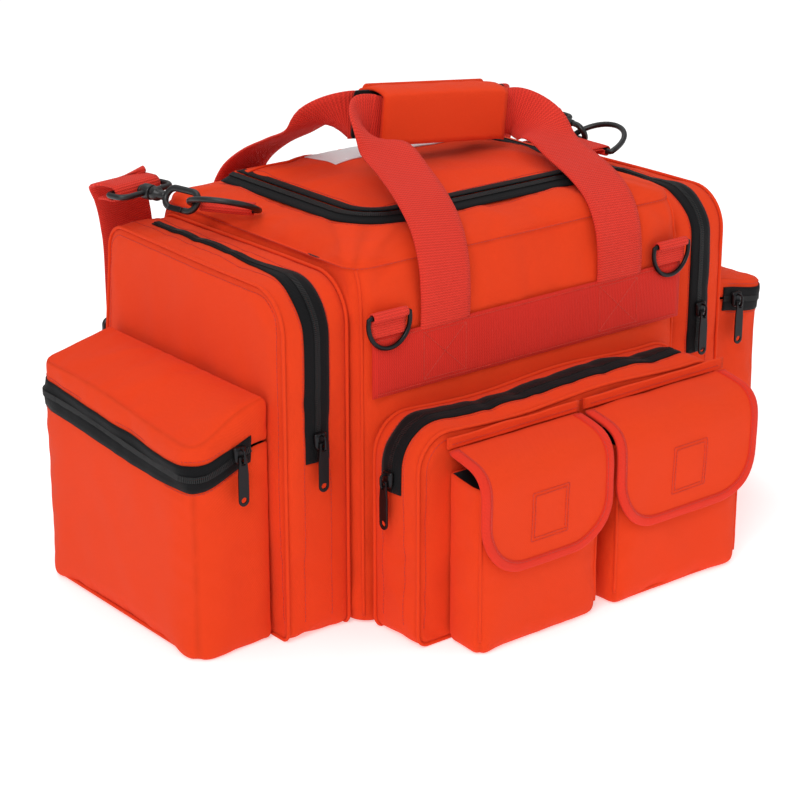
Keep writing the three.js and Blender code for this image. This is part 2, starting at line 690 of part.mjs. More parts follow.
// The hook lies in its own x, y plane: its axis is y, its nose at -nose, its mouth at -x.
function hookGeometry() {
  const half = hook.width / 2;
  const inner = half - hook.rim;
  const rim = roundedRect(-half, half, -hook.nose, hook.back, half);
  rim.holes.push(roundedRect(-inner, inner, -hook.nose + hook.rim, hook.back - hook.rim, inner));
  const ring = extrude(rim, 'z', -hook.thickness / 2, hook.thickness / 2, 4);
  const opening = boxBetween([-half - 1, hook.mouth[0], -hook.thickness],
    [-inner + 0.5, hook.mouth[1], hook.thickness]);
  const round = (radius, from, to) => new THREE.CylinderGeometry(radius, radius, to - from, 10)
    .translate(0, (from + to) / 2, 0);
  const neckEnd = hook.back + 6;
  return join(cut(ring, opening),
    round(hook.neck / 2, hook.back - 1, neckEnd),
    round(hook.collarRadius, neckEnd - 1, neckEnd + 7),
    round(hook.shaftRadius, neckEnd + 6, hook.length + 2),
    round(hook.collarRadius - 1, hook.length + 1, hook.length + 4));
}

// The gate is rounded at the end it turns on, next to the collar.
function gateGeometry() {
  const half = hook.width / 2;
  const [low, high] = [-half + 0.4, -half + hook.rim - 0.6];
  const round = (high - low) / 2 - 0.01;
  const shape = roundedRect(low, high, hook.mouth[0] + 0.5, hook.mouth[1] - gap,
    [0.5, 0.5, round, round]);
  return extrude(shape, 'z', -hook.thickness / 2 + 0.4, hook.thickness / 2 - 0.4, 4);
}

const eyeFrom = hook.back + 6 + 7 + eye.clearance; // the eye's near bar starts here
const eyeBar = hook.length + 1 - eye.clearance - eyeFrom;
const eyeTo = eyeFrom + eye.depth + 4;
const strapBarAt = eyeTo - eye.bar / 2;
function eyeGeometry() {
  const half = eye.width / 2;
  const frame = roundedRect(-half, half, eyeFrom, eyeTo, [8, 8, 3, 3]);
  frame.holes.push(roundedRect(-half + eye.bar, half - eye.bar, eyeFrom + eyeBar,
    eyeTo - eye.bar, 1.5));
  const plate = extrude(frame, 'z', -eye.bar / 2, eye.bar / 2, 3);
  const boss = new THREE.CylinderGeometry(6.5, 6.5, eyeBar, 10)
    .translate(0, eyeFrom + eyeBar / 2, 0);
  const bore = new THREE.CylinderGeometry(hook.shaftRadius + eye.clearance,
    hook.shaftRadius + eye.clearance, eyeBar * 3, 12).translate(0, eyeFrom + eyeBar / 2, 0);
  return cut(join(plate, boss), bore);
}

const strapEnds = {};
Object.entries(hardware).forEach(([name, { ring, turn, tab, hookTurn }]) => {
  const side = sides[name];
  const centre = new THREE.Vector3(...ring);
  const bar = turnedVector(side, turn, [0, 1, 0]).multiplyScalar(side);
  const outward = turnedVector(side, turn, [1, 0, 0]);
  const up = new THREE.Vector3(0, 0, 1);
  // The tab runs inwards from the bar and lies flat.
  const tabStrap = tabGeometry(bigRing.tabWidth, bigRing.wire, tab, 1.8, 2.6).geometry;
  const across = new THREE.Vector3().crossVectors(up, outward);
  add(`end_ring_tab_${name}`, placed(tabStrap.translate(0, 0, -tab), ring, across.toArray(),
    up.toArray(), outward.toArray()), colours.webbing);
  const tiltUp = degrees(bigRing.tilt);
  const bow = outward.clone().multiplyScalar(Math.cos(tiltUp))
    .addScaledVector(up, Math.sin(tiltUp));
  const dRing = hoop(dOutline(bigRing.inside, bigRing.drop, bigRing.wire), bigRing.wire, 8);
  add(`end_ring_${name}`, lineUp(dRing, centre.toArray(), bar, bow.clone().negate()),
    colours.plastic);

  const half = bigRing.inside / 2 + bigRing.wire;
  const rearSide = turnedVector(side, turn, [0, 1, 0]);
  const crossing = centre.clone().addScaledVector(rearSide, half - 1)
    .addScaledVector(bow, bigRing.drop * 0.4);
  const axis = turnedVector(side, hookTurn, [0.12, 0.99, 0]).normalize();
  crossing.addScaledVector(axis, -hook.settle);
  const wireLine = bow.clone().addScaledVector(rearSide, -0.27);
  const normal = wireLine.addScaledVector(axis, -wireLine.dot(axis)).normalize();
  const spread = new THREE.Vector3().crossVectors(axis, normal);
  const hookAt = (geometry) => placed(geometry, crossing.toArray(), spread.toArray(),
    axis.toArray(), normal.toArray());
  add(`snap_hook_${name}`, hookAt(hookGeometry()), colours.plastic);
  add(`snap_gate_${name}`, hookAt(gateGeometry()), colours.metal);
  const level = new THREE.Vector3().crossVectors(axis, up);
  add(`hook_eye_${name}`, placed(eyeGeometry(), crossing.toArray(), level.toArray(),
    axis.toArray(), up.toArray()), colours.plastic);
  strapEnds[name] = {
    bar: crossing.clone().addScaledVector(axis, strapBarAt), axis, level,
  };
});

// Webbing folded round the eye's bar, then back over the pocket's rear edge and down.
function strapTop(name, sign) {
  const { bar, axis, level } = strapEnds[name];
  const fold = eye.bar * 0.75 + webbing.thickness / 2 + 0.8;
  const points = [[16, -fold - 0.6], [8, -fold], [0, -fold], [-fold * 0.75, -fold * 0.7],
    [-fold - 0.3, 0], [-fold * 0.75, fold * 0.7], [0, fold], [9, fold], [18, fold - 2]];
  const across = new THREE.Vector3(sign, 0, 0);
  const stations = points.map(([back, up]) => ({
    at: bar.clone().addScaledVector(axis, back).add(new THREE.Vector3(0, 0, up)),
    across: level.clone().multiplyScalar(sign),
    width: webbing.width,
  }));
  const x = strap.legs[sign < 0 ? 0 : 1];
  const topZ = bar.z + fold;
  const over = new THREE.CatmullRomCurve3([
    stations[stations.length - 1].at,
    new THREE.Vector3((bar.x + x) / 2, tallFace - 2, topZ - 5),
    new THREE.Vector3(x, tallFace + 8, tall.height - 6),
    new THREE.Vector3(x, tallFace + 16, tall.height - 45),
    new THREE.Vector3(x, strap.hang, tall.height - 80),
  ]);
  over.getSpacedPoints(10).slice(1).forEach((at) => stations.push({
    at, across, width: webbing.width,
  }));
  stations.push({
    at: new THREE.Vector3(x, strap.hang, strap.straightTo), across, width: webbing.width,
  });
  return stations;
}

const strapY = new THREE.Vector3(0, 1, 0);
function strapStations() {
  const [leftX, rightX] = strap.legs;
  const { bend, bottom, hang } = strap;
  const left = strapTop('left', -1);
  const right = strapTop('right', 1);
  const corner = (cx, from, to) => arc(cx, bottom + bend, bend, from, to, 7)
    .map(([x, z]) => new THREE.Vector3(x, hang, z));
  const run = [
    ...corner(leftX + bend, Math.PI, Math.PI * 1.5),
    ...corner(rightX - bend, Math.PI * 1.5, Math.PI * 2),
  ];
  const low = run.map((at, i) => {
    const before = run[Math.max(i - 1, 0)];
    const after = run[Math.min(i + 1, run.length - 1)];
    const along = new THREE.Vector3().subVectors(after, before).normalize();
    return { at, across: new THREE.Vector3().crossVectors(strapY, along), width: webbing.width };
  });
  return [...left, ...low, ...right.reverse()];
}
add('shoulder_strap', ribbon(strapStations(), webbing.thickness), colours.webbing);

const strapBack = strap.hang + webbing.thickness / 2 + gap;
const padShape = roundedRect(-pad.length / 2, pad.length / 2, strap.bottom - pad.width / 2,
  strap.bottom + pad.width / 2, 14);
add('shoulder_pad', extrude(padShape, 'y', strapBack, strapBack + pad.thickness, 4),
  colours.cloth);

// A slider frame round the webbing of the left leg.
const slot = { width: webbing.width + 2 * gap, room: webbing.thickness + 2 * gap };
const legX = strap.legs[0];
add('strap_adjuster', cut(
  boxBetween([legX - adjuster.width / 2, strap.hang - adjuster.thickness / 2,
    strap.straightTo + 2],
  [legX + adjuster.width / 2, strap.hang + adjuster.thickness / 2,
    strap.straightTo + 2 + adjuster.length]),
  boxBetween([legX - slot.width / 2, strap.hang - slot.room / 2, strap.straightTo],
    [legX + slot.width / 2, strap.hang + slot.room / 2,
      strap.straightTo + 4 + adjuster.length]),
), colours.plastic);

export default bag;
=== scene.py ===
# Orange duffel bag for first responders: cloth, webbing, zips and clips round the frame.
import math

import bmesh
import bpy
import numpy as np
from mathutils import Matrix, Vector, noise
from mathutils.bvhtree import BVHTree


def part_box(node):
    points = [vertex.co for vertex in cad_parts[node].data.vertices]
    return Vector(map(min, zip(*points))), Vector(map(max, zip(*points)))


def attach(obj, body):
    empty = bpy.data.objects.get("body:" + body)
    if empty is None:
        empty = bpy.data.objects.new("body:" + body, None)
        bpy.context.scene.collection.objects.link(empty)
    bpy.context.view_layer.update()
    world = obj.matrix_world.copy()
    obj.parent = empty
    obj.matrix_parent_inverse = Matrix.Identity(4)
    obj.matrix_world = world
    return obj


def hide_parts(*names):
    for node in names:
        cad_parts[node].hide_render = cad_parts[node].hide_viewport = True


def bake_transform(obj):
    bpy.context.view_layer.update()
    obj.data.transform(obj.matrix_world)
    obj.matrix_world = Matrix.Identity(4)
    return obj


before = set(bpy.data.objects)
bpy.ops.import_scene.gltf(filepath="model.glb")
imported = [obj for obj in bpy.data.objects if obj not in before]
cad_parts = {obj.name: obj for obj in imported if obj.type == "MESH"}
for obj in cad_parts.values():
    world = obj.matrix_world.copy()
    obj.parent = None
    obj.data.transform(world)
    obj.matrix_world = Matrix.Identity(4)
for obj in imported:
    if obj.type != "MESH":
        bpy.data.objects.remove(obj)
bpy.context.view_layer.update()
sides = {"left": -1, "right": 1}
up = Vector((0, 0, 1))


def smooth(low, high, value):  # from 0 at low to 1 at high, either way round
    share = min(max((value - low) / (high - low), 0.0), 1.0)
    return share * share * (3 - 2 * share)


def mix(a, b, share):
    return a + (b - a) * share


# camera, floor and light
cameraPlace = {
    "at": (-1.196804, -1.466503, 0.818326),
    "towards": (0.58629, 0.73132, -0.34848),
    "lens": 103.8,
}
lighting = {
    "floor": 0.45,
    "world": 0.50,
    "key": {"at": (-2.2, -1.6, 2.6), "size": 1.6, "power": 52},
    "fill": {"at": (1.9, -2.4, 1.5), "size": 2.6, "power": 10},
    "top": {"at": (0.2, 0.6, 2.9), "size": 2.4, "power": 24},
}


def setStage():
    scene = bpy.context.scene
    camera = bpy.data.objects.new("camera", bpy.data.cameras.new("camera"))
    camera.data.lens = cameraPlace["lens"]
    camera.data.sensor_width = 36
    camera.data.clip_end = 20
    camera.location = cameraPlace["at"]
    camera.rotation_euler = Vector(cameraPlace["towards"]).to_track_quat("-Z", "Y").to_euler()
    scene.collection.objects.link(camera)
    scene.camera = camera
    scene.view_settings.view_transform = "Standard"
    world = bpy.data.worlds.new("room")
    world.use_nodes = True
    world.node_tree.nodes["Background"].inputs["Color"].default_value = (1, 1, 1, 1)
    world.node_tree.nodes["Background"].inputs["Strength"].default_value = lighting["world"]
    scene.world = world
    for name in ("key", "fill", "top"):
        settings = lighting[name]
        lamp = bpy.data.lights.new(name + "_light", "AREA")
        lamp.size = settings["size"]
        lamp.energy = settings["power"]
        holder = bpy.data.objects.new(name + "_light", lamp)
        holder.location = settings["at"]
        aim = Vector((0, 0, 0.15)) - Vector(settings["at"])
        holder.rotation_euler = aim.to_track_quat("-Z", "Y").to_euler()
        scene.collection.objects.link(holder)
    floorMesh = bpy.data.meshes.new("floor")
    reach = 6
    floorMesh.from_pydata([(-reach, -reach, 0), (reach, -reach, 0), (reach, reach, 0),
                           (-reach, reach, 0)], [], [(0, 1, 2, 3)])
    floor = bpy.data.objects.new("floor", floorMesh)
    scene.collection.objects.link(floor)
    return floor


# materials
class Wire:  # a node's output, so that shader maths reads as maths
    def __init__(self, paint, socket):
        self.paint, self.socket = paint, socket

    def math(self, operation, other=0.0):
        return self.paint.node("ShaderNodeMath", {"operation": operation}, {0: self, 1: other})

    def __add__(self, other):
        return self.math("ADD", other)

    def __sub__(self, other):
        return self.math("SUBTRACT", other)

    def __rsub__(self, other):
        return self.paint.node("ShaderNodeMath", {"operation": "SUBTRACT"}, {0: other, 1: self})

    def __mul__(self, other):
        return self.math("MULTIPLY", other)

    __radd__ = __add__
    __rmul__ = __mul__

    def clamped(self, low, high):
        return self.math("MAXIMUM", low).math("MINIMUM", high)


class Paint:  # one material under construction
    def __init__(self, name, **fixed):
        self.material = bpy.data.materials.new(name)
        self.material.use_nodes = True
        self.tree = self.material.node_tree
        self.shader = self.tree.nodes["Principled BSDF"]
        for socket, value in fixed.items():
            self.shader.inputs[socket.replace("_", " ")].default_value = value

    def node(self, kind, settings=None, values=None, output=0):
        made = self.tree.nodes.new(kind)
        for key, value in (settings or {}).items():
            if key == "stops":
                ramp = made.color_ramp
                while len(ramp.elements) < len(value):
                    ramp.elements.new(0.5)
                for element, (place, colour) in zip(ramp.elements, value):
                    element.position = place
                    element.color = colour
            else:
                setattr(made, key, value)
        for key, value in (values or {}).items():
            if isinstance(value, Wire):
                self.tree.links.new(value.socket, made.inputs[key])
            else:
                made.inputs[key].default_value = value
        return Wire(self, made.outputs[output])

    def feed(self, socket, wire):
        self.tree.links.new(wire.socket, self.shader.inputs[socket])

    def coordinates(self, kind):
        return self.node("ShaderNodeTexCoord", output=kind)

    def noise(self, scale, detail=2.0, vector=None, roughness=0.5):
        values = {"Scale": scale, "Detail": detail, "Roughness": roughness}
        values["Vector"] = vector or self.coordinates("Object")
        return self.node("ShaderNodeTexNoise", {}, values)

    def blendColours(self, share, first, second):
        kind = {"data_type": "RGBA"}
        return self.node("ShaderNodeMix", kind, {0: share, 6: first, 7: second}, output=2)

    def bump(self, height, distance, strength=1.0, normal=None):
        values = {"Height": height, "Distance": distance, "Strength": strength}
        if normal:
            values["Normal"] = normal
        return self.node("ShaderNodeBump", {}, values)


def shade(colour, factor):
    return tuple(c * factor for c in colour[:3]) + (1,)


def linear(red, green, blue):
    values = [v / 255 for v in (red, green, blue)]
    return tuple(v / 12.92 if v <= 0.04045 else ((v + 0.055) / 1.055) ** 2.4
                 for v in values) + (1,)


cloth = {
    "colour": linear(242, 68, 26), "thread": 0.0013, "weaveDepth": 0.00030,
    "roughness": 0.80, "sheen": 0.03, "specular": 0.12,
}
colours = {
    "webbing": linear(226, 58, 44), "bandWebbing": linear(212, 44, 32),
    "binding": linear(230, 54, 34), "tape": linear(17, 17, 19), "coil": linear(15, 15, 17),
    "plastic": linear(18, 18, 20), "metal": linear(40, 40, 42), "lining": linear(46, 46, 50),
    "board": linear(40, 40, 42), "thread": linear(206, 52, 32), "white": linear(238, 238, 240),
    "floor": linear(250, 250, 250),
}


def makeCloth(name, colour, thread=cloth["thread"], sheen=cloth["sheen"]):
    paint = Paint(name, Sheen_Weight=sheen, Sheen_Roughness=0.5,
                  Specular_IOR_Level=cloth["specular"])
    uv = paint.coordinates("UV")
    split = {"Vector": uv}
    across = paint.node("ShaderNodeSeparateXYZ", {}, split, output=0)
    along = paint.node("ShaderNodeSeparateXYZ", {}, split, output=1)
    turn = 2 * math.pi / thread
    warp = (across * turn).math("SINE")
    weft = (along * turn).math("SINE")
    weave = warp * weft * 0.5 + 0.5  # threads passing over and under
    slub = paint.noise(420, 1.0, uv)
    patches = paint.noise(9, 3.0)
    seam = paint.node("ShaderNodeAttribute", {"attribute_name": "seam"}, output=2)
    crumple = paint.noise(60, 3.0)
    shadeMask = (patches * 0.55 + slub * 0.45).clamped(0, 1)
    base = paint.blendColours(shadeMask, shade(colour, 0.88), shade(colour, 1.1))
    threadShade = paint.blendColours(weave * 0.75, shade(colour, 0.84), base)
    # painted shade: the cloth colour is darkened in noisy patches along the seams, where the cloth
    # creases
    seamShadedColour = paint.blendColours((seam * crumple * 0.7).clamped(0, 1), threadShade,
                              shade(colour, 0.62))
    paint.feed("Base Color", seamShadedColour)
    paint.feed("Roughness", (weave * -0.1 + (cloth["roughness"] + 0.06) + slub * 0.08))
    soft = paint.bump(crumple, 0.0008, 0.5)
    paint.feed("Normal", paint.bump(weave + slub * 0.5, cloth["weaveDepth"], 0.8, soft))
    return paint.material


def makeWebbing(name, colour, rib=0.0021, depth=0.00055):
    paint = Paint(name, Sheen_Weight=0.04, Sheen_Roughness=0.5,
                  Specular_IOR_Level=cloth["specular"])
    uv = paint.coordinates("UV")
    across = paint.node("ShaderNodeSeparateXYZ", {}, {"Vector": uv}, output=0)
    along = paint.node("ShaderNodeSeparateXYZ", {}, {"Vector": uv}, output=1)
    twill = (across * (2 * math.pi / 0.0026)).math("SINE")
    ribs = (along * (2 * math.pi / rib) + twill * 0.9).math("SINE") * 0.5 + 0.5
    fuzz = paint.noise(900, 1.0, uv)
    patches = paint.noise(14, 3.0)
    mask = (ribs * 0.5 + fuzz * 0.3 + patches * 0.3).clamped(0, 1)
    paint.feed("Base Color", paint.blendColours(mask, shade(colour, 0.66), shade(colour, 1.16)))
    paint.feed("Roughness", 0.82 - ribs * 0.12)
    paint.feed("Normal", paint.bump(ribs + fuzz * 0.25, depth, 0.9))
    return paint.material


def makeMoulded(name, colour, roughness, metallic=0.0, grain=260.0):
    paint = Paint(name, Metallic=metallic)
    fine = paint.noise(grain * 4, 2.0)
    broad = paint.noise(grain * 0.4, 3.0)
    scuffs = paint.node("ShaderNodeValToRGB", {"stops": [
        (0.56, (0, 0, 0, 1)), (0.72, (1, 1, 1, 1))]}, {"Fac": broad})
    paint.feed("Base Color", paint.blendColours(scuffs * 0.35, shade(colour, 0.9),
                                                shade(colour, 1.6)))
    paint.feed("Roughness", (fine * 0.12 + scuffs * 0.14 + (roughness - 0.06)))
    paint.feed("Normal", paint.bump(fine, 0.00008, 0.4))
    return paint.material


finishes = {
    "cloth": makeCloth("orange_cloth", cloth["colour"]),
    "lining": makeCloth("grey_lining", colours["lining"], 0.0008, 0.1),
    "patch": makeCloth("white_patch", colours["white"], 0.0012, 0.1),
    "webbing": makeWebbing("red_webbing", colours["webbing"]),
    "band": makeWebbing("band_webbing", colours["bandWebbing"], 0.0018, 0.00022),
    "binding": makeWebbing("edge_binding", colours["binding"], 0.0011, 0.00016),
    "tape": makeWebbing("zip_tape", colours["tape"], 0.0012, 0.00014),
    "hookTape": makeCloth("hook_tape", colours["tape"], 0.0016, 0.1),
    "coil": makeMoulded("zip_coil", colours["coil"], 0.6),
    "plastic": makeMoulded("black_plastic", colours["plastic"], 0.38),
    "metal": makeMoulded("gunmetal", colours["metal"], 0.36, 0.85),
    "board": makeMoulded("base_board", colours["board"], 0.7),
    "thread": makeMoulded("sewing_thread", colours["thread"], 0.6),
    "floor": makeMoulded("pale_floor", colours["floor"], 0.8, 0.0, 3.0),
}
floor = setStage()
glow = finishes["floor"].node_tree.nodes["Principled BSDF"].inputs  # the floor stays pale
glow["Emission Color"].default_value = (1, 1, 1, 1)
glow["Emission Strength"].default_value = lighting["floor"]
floor.data.materials.append(finishes["floor"])
print("stage and materials ready")


# mesh helpers
def lengthsAlong(points):
    total, found = 0.0, [0.0]
    for a, b in zip(points, points[1:]):
        total += (b - a).length
        found.append(total)
    return found


# A closed outline with round corners, in two coordinates. Each side starts and ends in the
# middle of a corner, so that a cap can be filled between the four sides.
def roundOutline(a0, a1, b0, b1, radii, countA, countB, bend=3):
    r = radii if isinstance(radii, (list, tuple)) else [radii] * 4
    centres = [(a0 + r[0], b0 + r[0]), (a1 - r[1], b0 + r[1]), (a1 - r[2], b1 - r[2]),
               (a0 + r[3], b1 - r[3])]
    middle = [math.radians(225 + 90 * k) for k in range(4)]
    step = math.radians(45)
    points = []

    def onCorner(k, angle):
        cx, cy = centres[k % 4]
        return (cx + r[k % 4] * math.cos(angle), cy + r[k % 4] * math.sin(angle))

    for side in range(4):
        count = countA if side % 2 == 0 else countB
        after = middle[side] + 2 * step
        for k in range(bend):
            points.append(onCorner(side, middle[side] + step * k / bend))
        start = onCorner(side, middle[side] + step)
        end = onCorner(side + 1, after - step)
        for k in range(count):
            points.append((mix(start[0], end[0], k / count), mix(start[1], end[1], k / count)))
        for k in range(bend):
            points.append(onCorner(side + 1, after - step + step * k / bend))
    return points


def placed(name, data):  # a mesh or curve as an object in the scene
    piece = bpy.data.objects.new(name, data)
    bpy.context.scene.collection.objects.link(piece)
    return piece


def insetOutline(box, inset, radii, least, countA, countB, bend=3):  # the same, drawn in
    a0, a1, b0, b1 = box
    return roundOutline(a0 + inset, a1 - inset, b0 + inset, b1 - inset,
                        [max(r - inset, least) for r in radii], countA, countB, bend)


class Skin:  # collects grids of points into one mesh with a UV map in metres
    def __init__(self):
        self.mesh = bmesh.new()
        self.uv = self.mesh.loops.layers.uv.new("UVMap")
        self.hold = self.mesh.verts.layers.float.new("seam")

    def grid(self, rows, uvs, holds=None):
        made = [[self.mesh.verts.new(p) for p in row] for row in rows]
        if holds:
            for row, held in zip(made, holds):
                for vertex, value in zip(row, held):
                    vertex[self.hold] = value
        for r in range(len(rows) - 1):
            for c in range(len(rows[0]) - 1):
                corners = [(r, c), (r, c + 1), (r + 1, c + 1), (r + 1, c)]
                face = self.mesh.faces.new([made[i][j] for i, j in corners])
                face.smooth = True
                for loop, (i, j) in zip(face.loops, corners):
                    loop[self.uv].uv = uvs[i][j]

    def wall(self, rings, holds=None):
        rows = [list(ring) + [ring[0]] for ring in rings]
        reference = lengthsAlong(rows[len(rows) // 2])
        down = lengthsAlong([ring[len(ring) // 8] for ring in rings])
        uvs = [[(u, v) for u in reference] for v in down]
        closedHolds = [list(h) + [h[0]] for h in holds] if holds else None
        self.grid(rows, uvs, closedHolds)

    def cap(self, ring, countA, countB, axes, holds=None, shape=None):
        bottom = ring[:countA + 1]
        right = ring[countA:countA + countB + 1]
        top = list(reversed(ring[countA + countB:2 * countA + countB + 1]))
        left = list(reversed(ring[2 * countA + countB:] + [ring[0]]))
        rows, edge = [], []
        for j in range(countB + 1):
            v = j / countB
            row, held = [], []
            for i in range(countA + 1):
                u = i / countA
                point = (bottom[i] * (1 - v) + top[i] * v + left[j] * (1 - u) + right[j] * u
                         - (bottom[0] * (1 - u) * (1 - v) + bottom[-1] * u * (1 - v)
                            + top[0] * (1 - u) * v + top[-1] * u * v))
                if shape:
                    point = shape(point, u, v)
                row.append(point)
                held.append(1.0 if i in (0, countA) or j in (0, countB) else 0.0)
            rows.append(row)
            edge.append(held)
        uvs = [[(p[axes[0]], p[axes[1]]) for p in row] for row in rows]
        self.grid(rows, uvs, edge if holds is None else holds)

    def ends(self, rings, countA, countB, axes):  # a wall closed at both ends
        self.wall(rings)
        self.cap(rings[0], countA, countB, axes)
        self.cap(rings[-1], countA, countB, axes)

    def close(self, rows):  # one flat face at each end of a tube
        for row in (rows[0], rows[-1]):
            self.mesh.faces.new([self.mesh.verts.new(p) for p in row[:-1]])

    def finish(self, name, finish):
        bmesh.ops.remove_doubles(self.mesh, verts=self.mesh.verts, dist=0.00004)
        bmesh.ops.recalc_face_normals(self.mesh, faces=self.mesh.faces)
        data = bpy.data.meshes.new(name)
        self.mesh.to_mesh(data)
        self.mesh.free()
        piece = placed(name, data)
        data.materials.append(finishes[finish])
        piece["finish"] = finish
        return piece


def baked(piece):  # the piece's mesh with its modifiers applied
    bpy.context.view_layer.update()
    evaluated = piece.evaluated_get(bpy.context.evaluated_depsgraph_get())
    data = bpy.data.meshes.new_from_object(evaluated)
    old = piece.data
    piece.modifiers.clear()
    piece.data = data
    data.name = piece.name
    bpy.data.meshes.remove(old)
    return piece


def addModifiers(piece, *settings):
    for kind, values in settings:
        modifier = piece.modifiers.new(kind.lower(), kind)
        for key, value in values.items():
            setattr(modifier, key, value)
    return piece


def smoothed(piece, levels=1):
    addModifiers(piece, ("SUBSURF", {"levels": levels, "render_levels": levels}))
    return baked(piece)


def thickened(piece, thickness, inner=None, offset=-1):
    if inner:
        piece.data.materials.append(finishes[inner])
    values = {"thickness": thickness, "offset": offset, "use_even_offset": False}
    if inner:
        values.update(material_offset=1, material_offset_rim=0)
    addModifiers(piece, ("SOLIDIFY", values))
    return baked(piece)


def tube(skin, points, radius, closed=False, around=8):
    n = len(points)
    rows = []
    normal = None
    for i, at in enumerate(points):
        before = points[(i - 1) % n] if closed else points[max(i - 1, 0)]
        after = points[(i + 1) % n] if closed else points[min(i + 1, n - 1)]
        tangent = (after - before).normalized()
        if normal is None:
            normal = tangent.orthogonal().normalized()
        normal = (normal - tangent * normal.dot(tangent)).normalized()
        side = tangent.cross(normal)
        size = radius(i / max(n - 1, 1)) if callable(radius) else radius
        rows.append([at + (normal * math.cos(a) + side * math.sin(a)) * size
                     for a in (2 * math.pi * k / around for k in range(around + 1))])
    along = lengthsAlong(points)
    if closed:
        # the frame may arrive turned by some steps after one round
        first = rows[0][:-1]
        start = min(range(around), key=lambda k: (first[k] - rows[-1][0]).length)
        rows.append([first[(start + k) % around] for k in range(around + 1)])
        along.append(along[-1] + (points[0] - points[-1]).length)
    size = radius if not callable(radius) else 0.002
    uvs = [[(2 * math.pi * size * k / around, v) for k in range(around + 1)] for v in along]
    skin.grid(rows, uvs)
    if not closed:
        for row in (rows[0], rows[-1]):
            ring = [skin.mesh.verts.new(p) for p in row[:-1]]
            skin.mesh.faces.new(ring).smooth = True


def spline(points, steps):  # a smooth line through the points
    found = []
    for i in range(len(points) - 1):
        p0 = points[max(i - 1, 0)]
        p1, p2 = points[i], points[i + 1]
        p3 = points[min(i + 2, len(points) - 1)]
        for k in range(steps):
            t = k / steps
            found.append(0.5 * ((2 * p1) + (p2 - p0) * t + (2 * p0 - 5 * p1 + 4 * p2 - p3) * t ** 2
                                + (3 * p1 - p0 - 3 * p2 + p3) * t ** 3))
    found.append(points[-1].copy())
    return found


def evenly(points, spacing):  # points at equal distances along a line
    total = lengthsAlong(points)
    count = max(int(total[-1] / spacing), 1)
    found, j = [], 0
    for k in range(count + 1):
        distance = total[-1] * k / count
        while j < len(points) - 2 and total[j + 1] < distance:
            j += 1
        span = total[j + 1] - total[j]
        share = (distance - total[j]) / span if span else 0
        found.append(points[j].lerp(points[j + 1], min(max(share, 0), 1)))
    return found


# Flat webbing. Stations are (at, across, width); the edges are rounded over.
def webbingStrip(skin, stations, thickness, steps=4, columns=8):
    at = spline([s[0] for s in stations], steps)
    across = spline([s[1] for s in stations], steps)
    width = spline([Vector((s[2], 0, 0)) for s in stations], steps)
    rows = []
    half = thickness / 2
    section = [(mix(-1, 1, k / columns), 1) for k in range(columns + 1)]
    section[0] = (-0.985, 0.75)
    section[-1] = (0.985, 0.75)
    section = section + [(1, 0)] + [(x, -z) for x, z in reversed(section)] + [(-1, 0)]
    section.append(section[0])
    along = lengthsAlong(at)
    uvs = []
    for i, centre in enumerate(at):
        tangent = (at[min(i + 1, len(at) - 1)] - at[max(i - 1, 0)]).normalized()
        side = (across[i] - tangent * across[i].dot(tangent)).normalized()
        out = side.cross(tangent).normalized()
        w = width[i].x / 2
        rows.append([centre + side * (w * x) + out * (half * z) for x, z in section])
        uvs.append([(w * x, along[i]) for x, z in section])
    skin.grid(rows, uvs)
    skin.close(rows)


# Geometry nodes that set one small solid on every point of a guide, turned by its attributes.
def repeatTree(name, kind):
    tree = bpy.data.node_groups.new(name, "GeometryNodeTree")
    face = tree.interface
    face.new_socket("Geometry", in_out="INPUT", socket_type="NodeSocketGeometry")
    for label in ("Width", "Length", "Height"):
        face.new_socket(label, in_out="INPUT", socket_type="NodeSocketFloat")
    face.new_socket("Material", in_out="INPUT", socket_type="NodeSocketMaterial")
    face.new_socket("Geometry", in_out="OUTPUT", socket_type="NodeSocketGeometry")
    nodes, link = tree.nodes, tree.links.new
    given, result = nodes.new("NodeGroupInput"), nodes.new("NodeGroupOutput")

    def direction(attribute, axis, rotation=None):
        named = nodes.new("GeometryNodeInputNamedAttribute")
        named.data_type = "FLOAT_VECTOR"
        named.inputs["Name"].default_value = attribute
        align = nodes.new("FunctionNodeAlignRotationToVector")
        align.axis = axis
        if rotation:
            align.pivot_axis = "Z"
            link(rotation, align.inputs["Rotation"])
        link(named.outputs["Attribute"], align.inputs["Vector"])
        return align.outputs["Rotation"]

    if kind == "tooth":
        solid = nodes.new("GeometryNodeMeshCube")
        size = nodes.new("ShaderNodeCombineXYZ")
        for k, label in enumerate(("Width", "Length", "Height")):
            link(given.outputs[label], size.inputs[k])
        link(size.outputs[0], solid.inputs["Size"])
        rotation = direction("along", "Y", direction("out", "Z"))
    else:
        solid = nodes.new("GeometryNodeMeshCylinder")
        solid.inputs["Vertices"].default_value = 6
        link(given.outputs["Width"], solid.inputs["Radius"])
        link(given.outputs["Length"], solid.inputs["Depth"])
        rotation = direction("along", "Z")
    place = nodes.new("GeometryNodeInstanceOnPoints")
    link(given.outputs["Geometry"], place.inputs["Points"])
    link(solid.outputs["Mesh"], place.inputs["Instance"])
    link(rotation, place.inputs["Rotation"])
    real = nodes.new("GeometryNodeRealizeInstances")
    link(place.outputs["Instances"], real.inputs["Geometry"])
    paint = nodes.new("GeometryNodeSetMaterial")
    link(real.outputs["Geometry"], paint.inputs["Geometry"])
    link(given.outputs["Material"], paint.inputs["Material"])
    link(paint.outputs["Geometry"], result.inputs["Geometry"])
    return tree


trees = {kind: repeatTree(kind + "_rows", kind) for kind in ("tooth", "stitch")}


